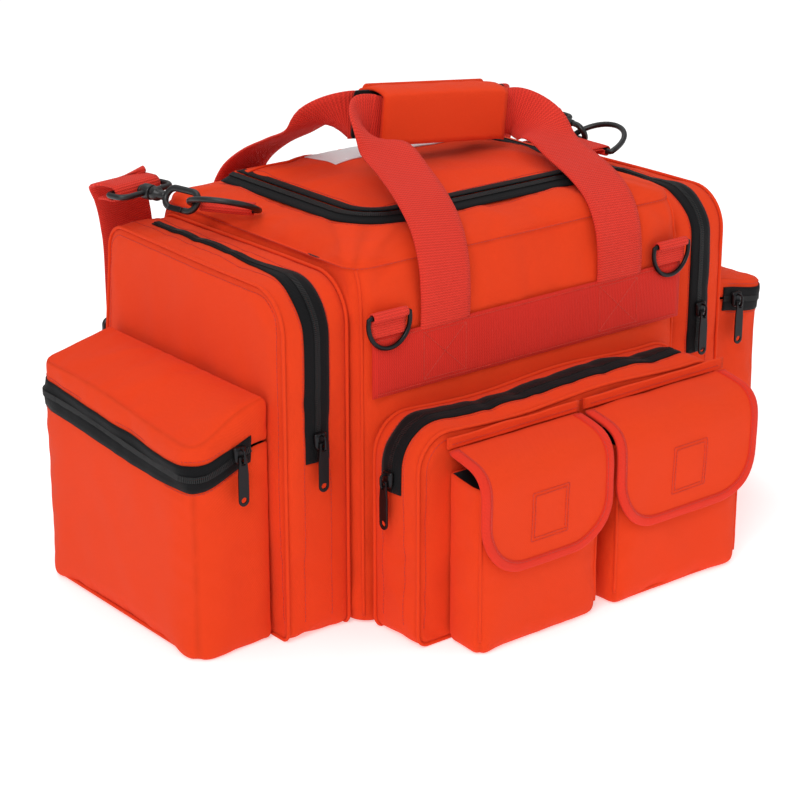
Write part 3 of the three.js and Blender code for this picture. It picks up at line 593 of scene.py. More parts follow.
# Guide rows are (point, direction along, direction out of the cloth).
def repeated(name, kind, guide, width, length, height, finish):
    data = bpy.data.meshes.new(name)
    data.from_pydata([tuple(g[0]) for g in guide], [], [])
    for k, label in ((1, "along"), (2, "out")):
        attribute = data.attributes.new(label, "FLOAT_VECTOR", "POINT")
        attribute.data.foreach_set("vector", np.array([tuple(g[k]) for g in guide],
                                                      np.float32).ravel())
    piece = placed(name, data)
    modifier = piece.modifiers.new("rows", "NODES")
    modifier.node_group = trees[kind]
    given = {"Width": width, "Length": length, "Height": height, "Material": finishes[finish]}
    for item in trees[kind].interface.items_tree:
        if item.in_out == "INPUT" and item.name in given:
            modifier[item.identifier] = given[item.name]
    baked(piece)
    piece["finish"] = finish
    return piece


# where a finished piece goes in the frame
def settle(piece, body, *nodes):
    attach(piece, body)
    if nodes:
        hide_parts(*nodes)
    return piece


def surfaceOf(*pieces):  # a search tree over finished cloth
    points, faces = [], []
    for piece in pieces:
        base = len(points)
        points += [v.co.copy() for v in piece.data.vertices]
        faces += [[base + i for i in p.vertices] for p in piece.data.polygons]
    return BVHTree.FromPolygons(points, faces)


# cloth simulation: every soft piece swells between its seams at once
clothSettings = {"frames": 20, "quality": 5, "mass": 0.25, "bending": 0.6, "tension": 18}
waiting = []


def soften(piece, settings):  # pressure, how far a point may move, and spare cloth
    waiting.append((piece, settings["pressure"], settings["cap"], settings["grow"]))


def runCloth():
    for piece, pressure, cap, grow in waiting:
        held = piece.data.attributes["seam"].data
        group = piece.vertex_groups.new(name="held")
        for i, item in enumerate(held):
            if item.value > 0:
                group.add([i], item.value, "REPLACE")
        modifier = piece.modifiers.new("cloth", "CLOTH")
        settings = modifier.settings
        settings.quality = clothSettings["quality"]
        settings.mass = clothSettings["mass"]
        settings.bending_stiffness = clothSettings["bending"]
        settings.tension_stiffness = settings.compression_stiffness = clothSettings["tension"]
        settings.vertex_group_mass = "held"
        settings.use_pressure = True
        settings.uniform_pressure_force = pressure
        settings.shrink_min = -grow
        settings.effector_weights.gravity = 0
        modifier.point_cache.frame_end = clothSettings["frames"]
    scene = bpy.context.scene
    for step in range(1, clothSettings["frames"] + 1):
        scene.frame_set(step)
    graph = bpy.context.evaluated_depsgraph_get()
    for piece, pressure, cap, grow in waiting:
        evaluated = piece.evaluated_get(graph)
        n = len(piece.data.vertices)
        rest, moved = np.zeros(n * 3), np.zeros(n * 3)
        piece.data.vertices.foreach_get("co", rest)
        evaluated.data.vertices.foreach_get("co", moved)
        rest, moved = rest.reshape(-1, 3), moved.reshape(-1, 3)
        step = moved - rest
        far = np.linalg.norm(step, axis=1, keepdims=True)
        # ease towards the cap instead of cutting off at it
        step *= np.where(far > 0, cap * np.tanh(far / cap) / np.maximum(far, 1e-9), 0)
        piece.modifiers.clear()
        piece.vertex_groups.clear()
        piece.data.vertices.foreach_set("co", (rest + step).ravel())
        piece.data.update()
        print(f"cloth {piece.name}: {n} points, moved up to {1000 * far.max():.1f} mm")
    scene.frame_set(1)
    waiting.clear()


def crumple(piece, seed, calm=None):  # shallow hollows and soft folds
    s = unevenness
    size = s["size"]
    offset = Vector((seed * 3.1, seed * 1.7, seed * 2.3))
    seams = piece.data.attributes["seam"].data
    normals = [v.normal.copy() for v in piece.data.vertices]
    lean = noise.noise(offset) * s["lean"]
    for vertex, normal, seam in zip(piece.data.vertices, normals, seams):
        if seam.value < 0.5:
            at = vertex.co
            slow = noise.noise(at / size + offset)
            # folds run aslant: stretched noise, ridged along its middle
            bent = Vector(((at.x + at.y) * 0.55 + at.z * lean, at.z * 0.35 - at.y * 0.4,
                           at.x * 0.3))
            ridge = 1 - abs(noise.noise(bent / (size * 0.5) + offset * 2)) * 2.6
            fine = noise.noise(at * 2.6 / size + offset)
            depth = (slow * s["hollows"] + max(ridge, 0) * s["folds"] + fine * s["fine"]
                     - s["sunk"])
            vertex.co += normal * (s["amount"] * (calm(at) if calm else 1)) * depth
    acrossMost, depthMost, acrossLeast, depthLeast = reaches.get(piece.name[:4], (1, 1, 0, 0))
    for vertex in piece.data.vertices:
        at = vertex.co
        at.x = math.copysign(min(max(abs(at.x), acrossLeast), acrossMost), at.x)
        at.y = math.copysign(min(max(abs(at.y), depthLeast), depthMost), at.y)
        at.z = max(at.z, s["floor"])
    piece.data.update()


# main compartment
mainBag = {
    "profile": [  # height, half length, half depth, corner radius
        (0.0, 0.162, 0.130, 0.016), (0.002, 0.169, 0.1375, 0.017), (0.008, 0.1735, 0.1425, 0.018),
        (0.05, 0.1745, 0.1430, 0.018), (0.15, 0.1747, 0.1432, 0.018),
        (0.245, 0.1745, 0.1428, 0.018), (0.272, 0.1742, 0.1412, 0.018),
        (0.287, 0.1735, 0.1380, 0.018), (0.296, 0.1725, 0.1330, 0.018),
        (0.2985, 0.1725, 0.1325, 0.018), (0.304, 0.1705, 0.1310, 0.019),
        (0.3085, 0.163, 0.1235, 0.022), (0.3115, 0.152, 0.1130, 0.028),
        (0.3145, 0.1405, 0.1015, 0.036),
    ],
    "seams": (0.002, 0.2972), "steps": 4, "countX": 38, "countY": 28,
    "wall": 0.0025, "pressure": 7.0, "cap": 0.0035, "grow": 0.01,
}
mouth = {"x": 0.1252, "front": -0.0862, "rear": 0.0922, "radius": 0.034, "height": 0.3200}


def mainShell():
    s = mainBag
    bend = 3
    sideA, sideB = s["countX"] + 2 * bend, s["countY"] + 2 * bend
    stations = spline([Vector(row[:3]) for row in s["profile"]], s["steps"])
    radii = spline([Vector((row[3], 0, 0)) for row in s["profile"]], s["steps"])
    rings, holds = [], []
    corners = {0, sideA, sideA + sideB, 2 * sideA + sideB}
    for i, (station, r) in enumerate(zip(stations, radii)):
        z, x, y = station
        outline = roundOutline(-x, x, -y, y, r.x, s["countX"], s["countY"], bend)
        rings.append([Vector((a, b, z)) for a, b in outline])
        seam = any(abs(z - height) < 0.0012 for height in s["seams"]) or i == 0
        holds.append([1.0 if seam or k in corners else 0.0 for k in range(len(outline))])
    m = mouth
    rim = roundOutline(-m["x"], m["x"], m["front"], m["rear"],
                       [m["radius"], m["radius"], 0.004, 0.004], s["countX"], s["countY"], bend)
    last = rings[-1]
    for share in (0.35, 0.7, 1.0):
        rings.append([last[k].lerp(Vector((a, b, m["height"])), share)
                      for k, (a, b) in enumerate(rim)])
        holds.append([1.0] * len(rim))
    skin = Skin()
    skin.wall(rings, holds)
    skin.cap(rings[0], sideA, sideB, (0, 1))
    return skin.finish("main_shell", "cloth")


def softBlock(name, rings, sideA, sideB, axes, seamRows, sewnBack=False):
    skin = Skin()
    holds = [[1.0 if i in seamRows else 0.0] * len(ring) for i, ring in enumerate(rings)]
    skin.wall(rings, holds)
    held = [[1.0] * (sideA + 1)] * (sideB + 1) if sewnBack else None
    skin.cap(rings[0], sideA, sideB, axes, held)
    skin.cap(rings[-1], sideA, sideB, axes)
    return skin.finish(name, "cloth")


soften(mainShell(), mainBag)

# tall end pockets
tallPocket = {
    "y": 0.1292, "height": 0.2915, "radii": (0.010, 0.010, 0.022, 0.036),
    "stations": [  # distance out, inset
        (0.1756, 0.0035), (0.1775, 0.0010), (0.184, 0.0), (0.190, 0.0), (0.196, 0.0),
        (0.202, 0.0), (0.208, 0.0), (0.214, 0.0), (0.220, 0.0), (0.226, 0.0), (0.232, 0.0006),
        (0.2355, 0.0018), (0.2372, 0.0044),
    ],
    "countY": 34, "countZ": 38, "pressure": 8.0, "cap": 0.0030, "grow": 0.012,
    "sag": {"left": (0.008, 0.002), "right": (0.004, 0.001)},
}


def tallSag(point, name):  # the rear top leans in and down
    lean, drop = tallPocket["sag"][name]
    share = smooth(0.16, 0.293, point.z) * smooth(-0.06, 0.13, point.y)
    side = sides[name]
    outer = smooth(0.176, 0.237, abs(point.x))
    return Vector((point.x - side * lean * share * outer, point.y, point.z - drop * share))


def tallRing(name, x, inset, countY, countZ, bend):  # its outline at one distance out
    s = tallPocket
    outline = insetOutline((-s["y"], s["y"], 0, s["height"]), inset, s["radii"], 0.003,
                           countY, countZ, bend)
    return [tallSag(Vector((sides[name] * x, a, b)), name) for a, b in outline]


def tallBlock(name):
    s = tallPocket
    bend = 4
    rings = [tallRing(name, x, inset, s["countY"], s["countZ"], bend)
             for x, inset in s["stations"]]
    return softBlock(f"tall_pocket_cloth_{name}", rings, s["countY"] + 2 * bend,
                     s["countZ"] + 2 * bend, (1, 2), {0, 1, 11, 12}, True)


for label in sides:
    soften(tallBlock(label), tallPocket)

# outer end pockets: an open box below the zip, a lid above it
outerPocket = {
    "inner": 0.2410, "outer": 0.3135, "y": 0.1122, "radius": 0.016, "tight": 0.003,
    "top": 0.2055, "slope": 0.009, "crown": 0.004, "wall": 0.0022, "countX": 10, "countY": 34,
    "box": {"pressure": 8.0, "cap": 0.0035, "grow": 0.012},
    "lid": {"pressure": 8.0, "cap": 0.0025, "grow": 0.010},
    "zip": {"left": (0.170, 0.153, 0.165), "right": (0.185, 0.176, 0.170)},
}


def zipHeight(point, name):  # the zip dips at the outer front corner and climbs rearwards
    start, corner, end = outerPocket["zip"][name]
    s = outerPocket
    outward = smooth(s["inner"] + 0.005, s["outer"] - 0.004, abs(point.x))
    rearward = smooth(-s["y"] + 0.004, s["y"] - 0.02, point.y)
    return mix(mix(start, corner, outward), mix(start, end, outward), rearward)


def openBox(name, span, heights, countA, countB, bend, edge):  # edge gives the rim's height
    radii = span[4]
    sideA, sideB = countA + 2 * bend, countB + 2 * bend
    corners = {0, sideA, sideA + sideB, 2 * sideA + sideB}
    rings, holds = [], []
    for i, (share, inset) in enumerate(heights):
        outline = insetOutline(span[:4], inset, radii, 0.002, countA, countB, bend)
        ring = []
        for a, b in outline:
            foot = Vector((a, b, 0))
            ring.append(Vector((a, b, share * edge(foot))))
        rings.append(ring)
        held = 1.0 if i in (0, len(heights) - 1) else 0.0
        holds.append([1.0 if held or k in corners else 0.0 for k in range(len(outline))])
    skin = Skin()
    skin.wall(rings, holds)
    skin.cap(rings[0], sideA, sideB, (0, 1))
    return skin.finish(name, "cloth")


def outerSpan(name):
    s = outerPocket
    x0, x1, tight, wide = s["inner"], s["outer"], s["tight"], s["radius"]
    if sides[name] < 0:
        return (-x1, -x0, -s["y"], s["y"], [wide, tight, tight, wide])
    return (x0, x1, -s["y"], s["y"], [tight, wide, wide, tight])


def outerBox(name):
    count = 24
    heights = [(0.0, 0.006), (0.006, 0.0025), (0.02, 0.0005)]
    heights += [(mix(0.05, 0.997, k / count), 0.0) for k in range(count + 1)]
    s = outerPocket
    return openBox(f"outer_pocket_cloth_{name}", outerSpan(name), heights, s["countX"],
                   s["countY"], 3, lambda p: zipHeight(p, name))


def outerLid(name):
    s = outerPocket
    bend = 3
    span = outerSpan(name)
    sideA, sideB = s["countX"] + 2 * bend, s["countY"] + 2 * bend

    def top(x):
        return s["top"] - s["slope"] * (abs(x) - s["inner"]) / (s["outer"] - s["inner"])

    rings, holds = [], []
    for share, inset in ((0.0, 0), (0.2, 0), (0.4, 0), (0.6, 0), (0.8, 0.0), (0.93, 0.0008),
                         (1.0, 0.003)):
        outline = insetOutline(span[:4], inset, span[4], 0.002, s["countX"], s["countY"], bend)
        ring = []
        for a, b in outline:
            low = zipHeight(Vector((a, b, 0)), name) + 0.0008
            ring.append(Vector((a, b, mix(low, top(a), share))))
        rings.append(ring)
        holds.append([1.0 if share in (0.0, 1.0) else 0.0 for _ in outline])
    skin = Skin()
    skin.wall(rings, holds)

    def crown(point, u, v):
        rise = s["crown"] * math.sin(math.pi * u) * math.sin(math.pi * v)
        return point + Vector((0, 0, rise))

    skin.cap(rings[-1], sideA, sideB, (0, 1), None, crown)
    return skin.finish(f"outer_lid_cloth_{name}", "cloth")


for label in sides:
    soften(outerBox(label), outerPocket["box"])
    soften(outerLid(label), outerPocket["lid"])

# front pocket
frontPocket = {
    "x": 0.165, "height": 0.180, "radii": (0.012, 0.012, 0.031, 0.031),
    "stations": [
        (0.1465, 0.0020), (0.1480, 0.0005), (0.153, 0.0), (0.159, 0.0), (0.165, 0.0),
        (0.171, 0.0), (0.177, 0.0), (0.183, 0.0), (0.189, 0.0), (0.195, 0.0007), (0.1985, 0.0022),
        (0.2003, 0.0052),
    ],
    "countX": 46, "countZ": 22, "pressure": 8.0, "cap": 0.0032, "grow": 0.012,
}


def frontSag(point):  # the top edge rolls a little along its length
    share = smooth(0.11, 0.18, point.z)
    wave = 0.0022 * math.sin(point.x * 34 + 0.6) - 0.0012
    return Vector((point.x, point.y, point.z + share * wave))


def frontRing(y, inset, countX, countZ, bend):
    s = frontPocket
    outline = insetOutline((-s["x"], s["x"], 0, s["height"]), inset, s["radii"], 0.003,
                           countX, countZ, bend)
    return [frontSag(Vector((a, -y, b))) for a, b in outline]


def frontBlock():
    s = frontPocket
    bend = 4
    rings = [frontRing(y, inset, s["countX"], s["countZ"], bend) for y, inset in s["stations"]]
    return softBlock("front_pocket_cloth", rings, s["countX"] + 2 * bend,
                     s["countZ"] + 2 * bend, (0, 2), {0, 1, 10, 11}, True)


soften(frontBlock(), frontPocket)

# flap pockets
flapPocket = {
    "spans": {"left": (-0.1355, -0.0055), "right": (0.0095, 0.1565)},
    "back": 0.2043, "front": 0.2412, "height": 0.146, "radius": 0.012, "wall": 0.0020,
    "pressure": 8.0, "cap": 0.0022, "grow": 0.010,
}


def flapBox(name):
    s = flapPocket
    x0, x1 = s["spans"][name]
    count = 22
    heights = [(0.0, 0.007), (0.010, 0.0035), (0.03, 0.0012), (0.06, 0.0002)]
    heights += [(mix(0.10, 1.0, k / count), 0.0) for k in range(count + 1)]
    span = (x0, x1, -s["front"], -s["back"], [s["radius"], s["radius"], 0.002, 0.002])

    def edge(point):
        depth = (-point.y - s["back"]) / (s["front"] - s["back"])
        return s["height"] - 0.006 * depth

    return openBox(f"flap_pocket_cloth_{name}", span, heights, 20, 5, 3, edge)


for label in sides:
    soften(flapBox(label), flapPocket)

# the lid, a crowned panel
lidPanel = {"inset": 0.0008, "low": 0.3163, "high": 0.3205, "crown": 0.0085,
            "pressure": 6.0, "cap": 0.003, "grow": 0.01}


def lidCushion():
    s, m = lidPanel, mouth
    bend, countA, countB = 3, 38, 28
    edge = s["inset"]
    rings = []
    for z, inset in ((s["low"], 0.003), (s["low"] + 0.001, 0.0006), (s["high"] - 0.001, 0.0),
                     (s["high"], 0.0012)):
        outline = roundOutline(-m["x"] + edge + inset, m["x"] - edge - inset,
                               m["front"] + edge + inset, m["rear"] - edge - inset,
                               [m["radius"], m["radius"], 0.004, 0.004], countA, countB, bend)
        rings.append([Vector((a, b, z)) for a, b in outline])
    skin = Skin()
    skin.wall(rings, [[1.0] * len(rings[0])] * len(rings))
    sideA, sideB = countA + 2 * bend, countB + 2 * bend
    skin.cap(rings[0], sideA, sideB, (0, 1), [[1.0] * (sideA + 1)] * (sideB + 1))

    def crown(point, u, v):
        rise = s["crown"] * (1 - (2 * u - 1) ** 4) * (1 - (2 * v - 1) ** 4)
        return point + Vector((0, 0, rise))

    skin.cap(rings[-1], sideA, sideB, (0, 1), None, crown)
    return skin.finish("lid_cloth", "cloth")


soften(lidCushion(), lidPanel)

# grip panels and the shoulder pad: quilted pads
pads = {
    "grip_front": {"centre": (0.014, -0.0135, 0.368), "length": 0.132, "height": 0.0435,
                   "half": 0.0022, "tilt": 6.0, "cap": 0.0010, "round": 0.004},
    "grip_rear": {"centre": (0.014, 0.0135, 0.372), "length": 0.132, "height": 0.0435,
                  "half": 0.0022, "tilt": 6.0, "cap": 0.0010, "round": 0.004},
    "shoulder_pad": {"centre": (0.0, 0.1620, 0.040), "length": 0.188, "height": 0.061,
                     "half": 0.0030, "tilt": 0.0, "cap": 0.0016,
                     "round": 0.013},
}


def tilted(centre, p, q, out, tilt):  # a place on a panel that hangs a little aslant
    return Vector(centre) + Vector((p * math.cos(tilt) + q * math.sin(tilt), out,
                                    q * math.cos(tilt) - p * math.sin(tilt)))


def quiltedPad(name):
    s = pads[name]
    bend, countA, countB = 3, int(s["length"] / 0.005), int(s["height"] / 0.005)
    a, b = s["length"] / 2, s["height"] / 2
    tilt = math.radians(s["tilt"])
    rings = []
    for depth, inset in ((-1.0, 0.0016), (-0.45, 0.0), (0.45, 0.0), (1.0, 0.0016)):
        outline = roundOutline(-a + inset, a - inset, -b + inset, b - inset, s["round"],
                               countA, countB, bend)
        rings.append([tilted(s["centre"], p, q, depth * s["half"], tilt) for p, q in outline])
    sideA, sideB = countA + 2 * bend, countB + 2 * bend
    return softBlock(name + "_cloth", rings, sideA, sideB, (0, 2), {0, 1, 2, 3})


for label in pads:
    soften(quiltedPad(label), {"pressure": 9.0, "cap": pads[label]["cap"], "grow": 0.012})

runCloth()
print("cloth shaped")


def found(name):
    return bpy.data.objects[name]


# finished cloth shells: uneven first, then given a wall and a lining
softNames = ["main_shell", "front_pocket_cloth", "lid_cloth", "grip_front_cloth",
             "grip_rear_cloth", "shoulder_pad_cloth"]
walls = {"main_shell": mainBag["wall"]}
for label in sides:
    softNames += [f"{part}_cloth_{label}"
                  for part in ("tall_pocket", "outer_pocket", "outer_lid", "flap_pocket")]
    walls[f"outer_pocket_cloth_{label}"] = outerPocket["wall"]
    walls[f"outer_lid_cloth_{label}"] = outerPocket["wall"]
    walls[f"flap_pocket_cloth_{label}"] = flapPocket["wall"]
unevenness = {"amount": 0.0029, "size": 0.070, "lean": 1.2, "hollows": 0.9, "folds": 0.55,
              "fine": 0.3, "sunk": 0.45, "floor": 0.0003}
reaches = {  # the furthest and the nearest that each cloth may lie, across and in depth
    "main": (0.1752, 0.1460, 0, 0), "tall": (0.2400, 0.1304, 0, 0), "fron": (1, 0.2035, 0, 0),
    "flap": (1, 0.2431, 0, 0.2040), "oute": (1, 1, 0.2406, 0),
}


def calmBySide(at):  # an outer pocket lies flat where it is sewn to the tall one
    return smooth(0.243, 0.266, abs(at.x))


def calmByFront(at):  # and a small pocket where it meets the front pocket
    return smooth(0.207, 0.226, -at.y)


def droop(name):  # a half empty pocket's lid hangs lower at its outer front corner
    side = name.rsplit("_", 1)[1]
    most = {"left": 0.46, "right": 0.30}[side]
    for vertex in found(name).data.vertices:
        at = vertex.co
        low = zipHeight(at, side)
        front = 0.4 + 0.6 * smooth(0.06, -0.1122, at.y)
        share = smooth(0.246, 0.309, abs(at.x)) * front
        if at.z > low + 0.004:
            at.z = low + 0.004 + (at.z - low - 0.004) * (1 - most * share)


for label in sides:
    droop(f"outer_lid_cloth_{label}")
for seed, label in enumerate(softNames):
    if not any(word in label for word in ("grip", "pad")):
        calm = {"outer": calmBySide, "flap_": calmByFront}.get(label[:5])
        crumple(found(label), seed + 1, calm)
    if label in walls:
        thickened(found(label), walls[label], "lining")
    smoothed(found(label))

for label, body, node in (
        ("main_shell", "bag", "body_shell"), ("front_pocket_cloth", "bag", "front_pocket"),
        ("lid_cloth", "lid", "lid_panel"),
        ("grip_front_cloth", "front_handle", "grip_front_panel"),
        ("grip_rear_cloth", "rear_handle", "grip_rear_panel"),
        ("shoulder_pad_cloth", "bag", "shoulder_pad")):
    settle(found(label), body, node)
for label in sides:
    for part in ("tall_pocket", "outer_pocket", "outer_lid", "flap_pocket"):
        body = f"outer_lid_{label}" if part == "outer_lid" else "bag"
        settle(found(f"{part}_cloth_{label}"), body, f"{part}_{label}")
print("cloth pieces placed")


# flaps over the small front pockets
flap = {
    "overhang": {"left": 0.003, "right": 0.006}, "corner": 0.044, "half": 0.0011,
    "bindingWidth": 0.0085, "fullness": 0.0016, "curl": 0.0035, "ripple": 0.0011,
    "path": [(-0.2052, 0.1640), (-0.2110, 0.1628), (-0.2180, 0.1615), (-0.2260, 0.1598),
             (-0.2340, 0.1575), (-0.2408, 0.1530), (-0.2453, 0.1450), (-0.2468, 0.1330),
             (-0.2470, 0.1100), (-0.2470, 0.0850), (-0.2478, 0.0680)],
    "box": {"half": 0.019, "tall": 0.0205, "middle": 0.110},
    "strip": {"low": 0.1655, "high": 0.1745, "back": 0.2037, "face": 0.2062, "seam": 0.1693},
}
flapLine = evenly(spline([Vector((0, y, z)) for y, z in flap["path"]], 6), 0.003)
flapLength = lengthsAlong(flapLine)[-1]


def flapPoint(name, x, v, lift=0.0):  # a place on the flap, from its flat cut
    place = min(max(v / flapLength, 0), 1) * (len(flapLine) - 1)
    k = min(int(place), len(flapLine) - 2)
    at = flapLine[k].lerp(flapLine[k + 1], place - k)
    tangent = (flapLine[min(k + 2, len(flapLine) - 1)] - flapLine[max(k - 1, 0)]).normalized()
    out = Vector((1, 0, 0)).cross(tangent) * -1
    x0, x1 = flapPocket["spans"][name]
    middle, half = (x0 + x1) / 2, (x1 - x0) / 2 + flap["overhang"][name]
    u = (x - middle) / half
    share = v / flapLength
    fullness = flap["fullness"] * (1 - u ** 4) * math.sin(math.pi * min(share * 1.15, 1))
    curl = flap["curl"] * smooth(0.55, 1.0, abs(u)) * smooth(0.62, 1.0, share)
    ripple = flap["ripple"] * noise.noise(Vector((x * 34, v * 30, 3 if name == "left" else 9)))
    return Vector((x, at.y, at.z)) + out * (lift + fullness + curl + ripple)


def flapHalf(name, v):
    x0, x1 = flapPocket["spans"][name]
    full, r = (x1 - x0) / 2 + flap["overhang"][name], flap["corner"]
    below = v - (flapLength - r)
    if below <= 0:
        return full
    return full - r + math.sqrt(max(r * r - below * below, 0))


def flapCloth(name):
    x0, x1 = flapPocket["spans"][name]
    middle = (x0 + x1) / 2
    rows, uvs = [], []
    straight = [mix(0, flapLength - flap["corner"], k / 26) for k in range(26)]
    bent = [flapLength - flap["corner"] + flap["corner"] * math.sin(math.pi / 2 * k / 12)
            for k in range(13)]
    columns = 32
    for v in straight + bent:
        half = flapHalf(name, v)
        xs = [middle + half * (2 * c / columns - 1) for c in range(columns + 1)]
        rows.append([flapPoint(name, x, v) for x in xs])
        uvs.append([(x, v) for x in xs])
    skin = Skin()
    skin.grid(rows, uvs)
    piece = skin.finish(f"flap_cloth_{name}", "cloth")
    thickened(piece, 2 * flap["half"], None, 0)
    return smoothed(piece)


def flapEdge(name, start=0.0):  # the flap's cut edge in the flat, with its inward direction
    x0, x1 = flapPocket["spans"][name]
    middle, full, r = (x0 + x1) / 2, (x1 - x0) / 2 + flap["overhang"][name], flap["corner"]
    low = flapLength - r
    points = [(-full, mix(start, low, k / 22), 1, 0) for k in range(22)]
    points += [(-full + r - r * math.cos(a), low + r * math.sin(a), math.cos(a), -math.sin(a))
               for a in (math.pi / 2 * k / 12 for k in range(12))]
    points += [(mix(-full + r, full - r, k / 16), flapLength, 0, -1) for k in range(16)]
    points += [(full - r + r * math.sin(a), low + r * math.cos(a), -math.sin(a), -math.cos(a))
               for a in (math.pi / 2 * k / 12 for k in range(12))]
    points += [(full, mix(low, start, k / 22), -1, 0) for k in range(23)]
    return [(middle + x, v, dx, dv) for x, v, dx, dv in points]


def flapBinding(name):
    t, w = flap["half"] + 0.0006, flap["bindingWidth"]
    section = [(w, t), (w * 0.5, t + 0.0001), (0.0008, t), (-0.0006, t * 0.6), (-0.0006, -t * 0.6),
               (0.0008, -t), (w * 0.5, -t - 0.0001), (w, -t)]
    section.append(section[0])
    rows, uvs, total, last = [], [], 0.0, None
    for x, v, dx, dv in flapEdge(name, 0.003):
        row = [flapPoint(name, x + dx * d, v + dv * d, lift) for d, lift in section]
        if last is not None:
            total += (row[2] - last).length
        last = row[2]
        rows.append(row)
        uvs.append([(d if lift > 0 else -d, total) for d, lift in section])
    skin = Skin()
    skin.grid(rows, uvs)
    skin.close(rows)
    return skin.finish(f"flap_binding_{name}", "binding")


def guideAlong(points, outs, spacing, closed=False):
    # rows for the repeat trees: a point, the way along, the way out
    pts = list(points) + ([points[0]] if closed else [])
    out = list(outs) + ([outs[0]] if closed else [])
    along = lengthsAlong(pts)
    count = max(int(along[-1] / spacing), 1)
    rows, j = [], 0
    for k in range(count):
        distance = along[-1] * (k + 0.5) / count
        while j < len(pts) - 2 and along[j + 1] < distance:
            j += 1
        span = along[j + 1] - along[j]
        share = (distance - along[j]) / span if span else 0
        rows.append((pts[j].lerp(pts[j + 1], share), (pts[j + 1] - pts[j]).normalized(),
                     out[j].lerp(out[j + 1], share).normalized()))
    return rows


stitch = {"spacing": 0.0034, "radius": 0.00033, "length": 0.0025}


def sew(name, body, lines):  # all of a body's sewn lines, each (points, outs, closed)
    guide = []
    for points, outs, closed in lines:
        guide += guideAlong(points, outs, stitch["spacing"], closed)
    piece = repeated(name, "stitch", guide, stitch["radius"], stitch["length"], 0.0, "thread")
    return settle(piece, body)


def crossedBox(centre, right, over, half, tall, out):  # a sewn rectangle
    corners = [(-1, -1), (1, -1), (1, 1), (-1, 1), (-1, -1)]
    pts = [centre + right * (half * a) + over * (tall * b) for a, b in corners]
    line = [p for a, b in zip(pts, pts[1:]) for p in (a, b)]
    return line, [out] * len(line)


for label in sides:
    settle(flapCloth(label), f"flap_{label}", f"flap_{label}")
    settle(flapBinding(label), f"flap_{label}")
    lines = []
    edge = flapEdge(label, 0.006)
    inner = flap["bindingWidth"] - 0.0016
    lift = flap["half"] + 0.0008
    points = [flapPoint(label, x + dx * inner, v + dv * inner, lift) for x, v, dx, dv in edge]
    lines.append((points, [Vector((0, -1, 0))] * len(points), False))
    x0, x1 = flapPocket["spans"][label]
    middle, box = (x0 + x1) / 2, flap["box"]
    drop = flapLength - (box["middle"] - flap["path"][-1][1])
    rim = [(-1, -1), (1, -1), (1, 1), (-1, 1)]
    ring = []
    for (a, b), (c, d) in zip(rim, rim[1:] + rim[:1]):
        ring += [(mix(a, c, k / 12), mix(b, d, k / 12)) for k in range(12)]
    for grow in (0.0, -0.0028):
        points = [flapPoint(label, middle + (box["half"] + grow) * a,
                            drop + (box["tall"] + grow) * b, flap["half"] + 0.0003)
                  for a, b in ring]
        lines.append((points, [Vector((0, -1, 0))] * len(points), True))
    sew(f"flap_stitches_{label}", f"flap_{label}", lines)
    # the flap is sewn on along a doubled strip above its fold
    strip, over = flap["strip"], flap["overhang"][label]
    skin = Skin()
    rings = []
    for k in range(33):
        at = mix(x0 - over, x1 + over, k / 32)
        wave = 0.0006 * noise.noise(Vector((at * 30, 5, 2)))
        outline = roundOutline(-strip["face"] - wave, -strip["back"], strip["low"],
                               strip["high"] + 2 * wave, 0.0009, 2, 6)
        rings.append([Vector((at, a, b)) for a, b in outline])
    skin.ends(rings, 8, 12, (1, 2))
    settle(skin.finish(f"flap_strip_{label}", "cloth"), "bag")
    points = [Vector((mix(x0, x1, k / 20), -strip["face"] - 0.0004, strip["seam"]))
              for k in range(21)]
    sew(f"flap_strip_stitches_{label}", "bag", [(points, [Vector((0, -1, 0))] * 21, False)])
    # a rough patch on the pocket's face holds the flap shut
    low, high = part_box(f"loop_patch_{label}")
    skin = Skin()
    rings = []
    for y, inset in ((high.y, 0.0), (low.y + 0.0004, 0.0), (low.y, 0.0008)):
        outline = roundOutline(low.x + inset, high.x - inset, low.z + inset, high.z - inset,
                               0.003, 10, 12)
        rings.append([Vector((a, y, b)) for a, b in outline])
    skin.ends(rings, 16, 18, (0, 2))
    settle(skin.finish(f"patch_{label}", "hookTape"), "bag", f"loop_patch_{label}")
print("flaps ready")


# webbing bands and carry loops
bands = {"x": 0.166, "y": 0.1471, "low": 0.196, "high": 0.246, "thickness": 0.0015,
         "crossHalf": 0.0215, "crossTall": 0.0195, "edge": 0.0028, "end": 0.004}
loopShape = {
    "thickness": 0.0024, "spread": 0.094, "startY": -0.148, "startZ": 0.2481,
    "gripX": 0.014, "gripY": -0.009, "gripZ": 0.368, "gripLength": 0.133, "tilt": -6.0,
    "path": [  # in, up, share of the way to the grip, past the grip's end, twist, width
        (0, 0, 0, 23, 0, 50), (1, 22, 0.05, 23, 0, 50), (6, 44, 0.15, 23, 0, 50),
        (19, 65, 0.32, 23, 0, 50), (42, 81, 0.55, 23, 0, 50), (70, 93, 0.8, 23, 0, 50),
        (98, 105, 0.97, 24, 0, 50), (120, 114, 1, 26, 40, 46), (136, 120, 1, 20, 70, 42),
        (140, 121, 1, 8, 90, 40),
    ],
    "foot": [(0.0018, -0.048), (0.0018, -0.020), (0.0016, -0.006)],
}


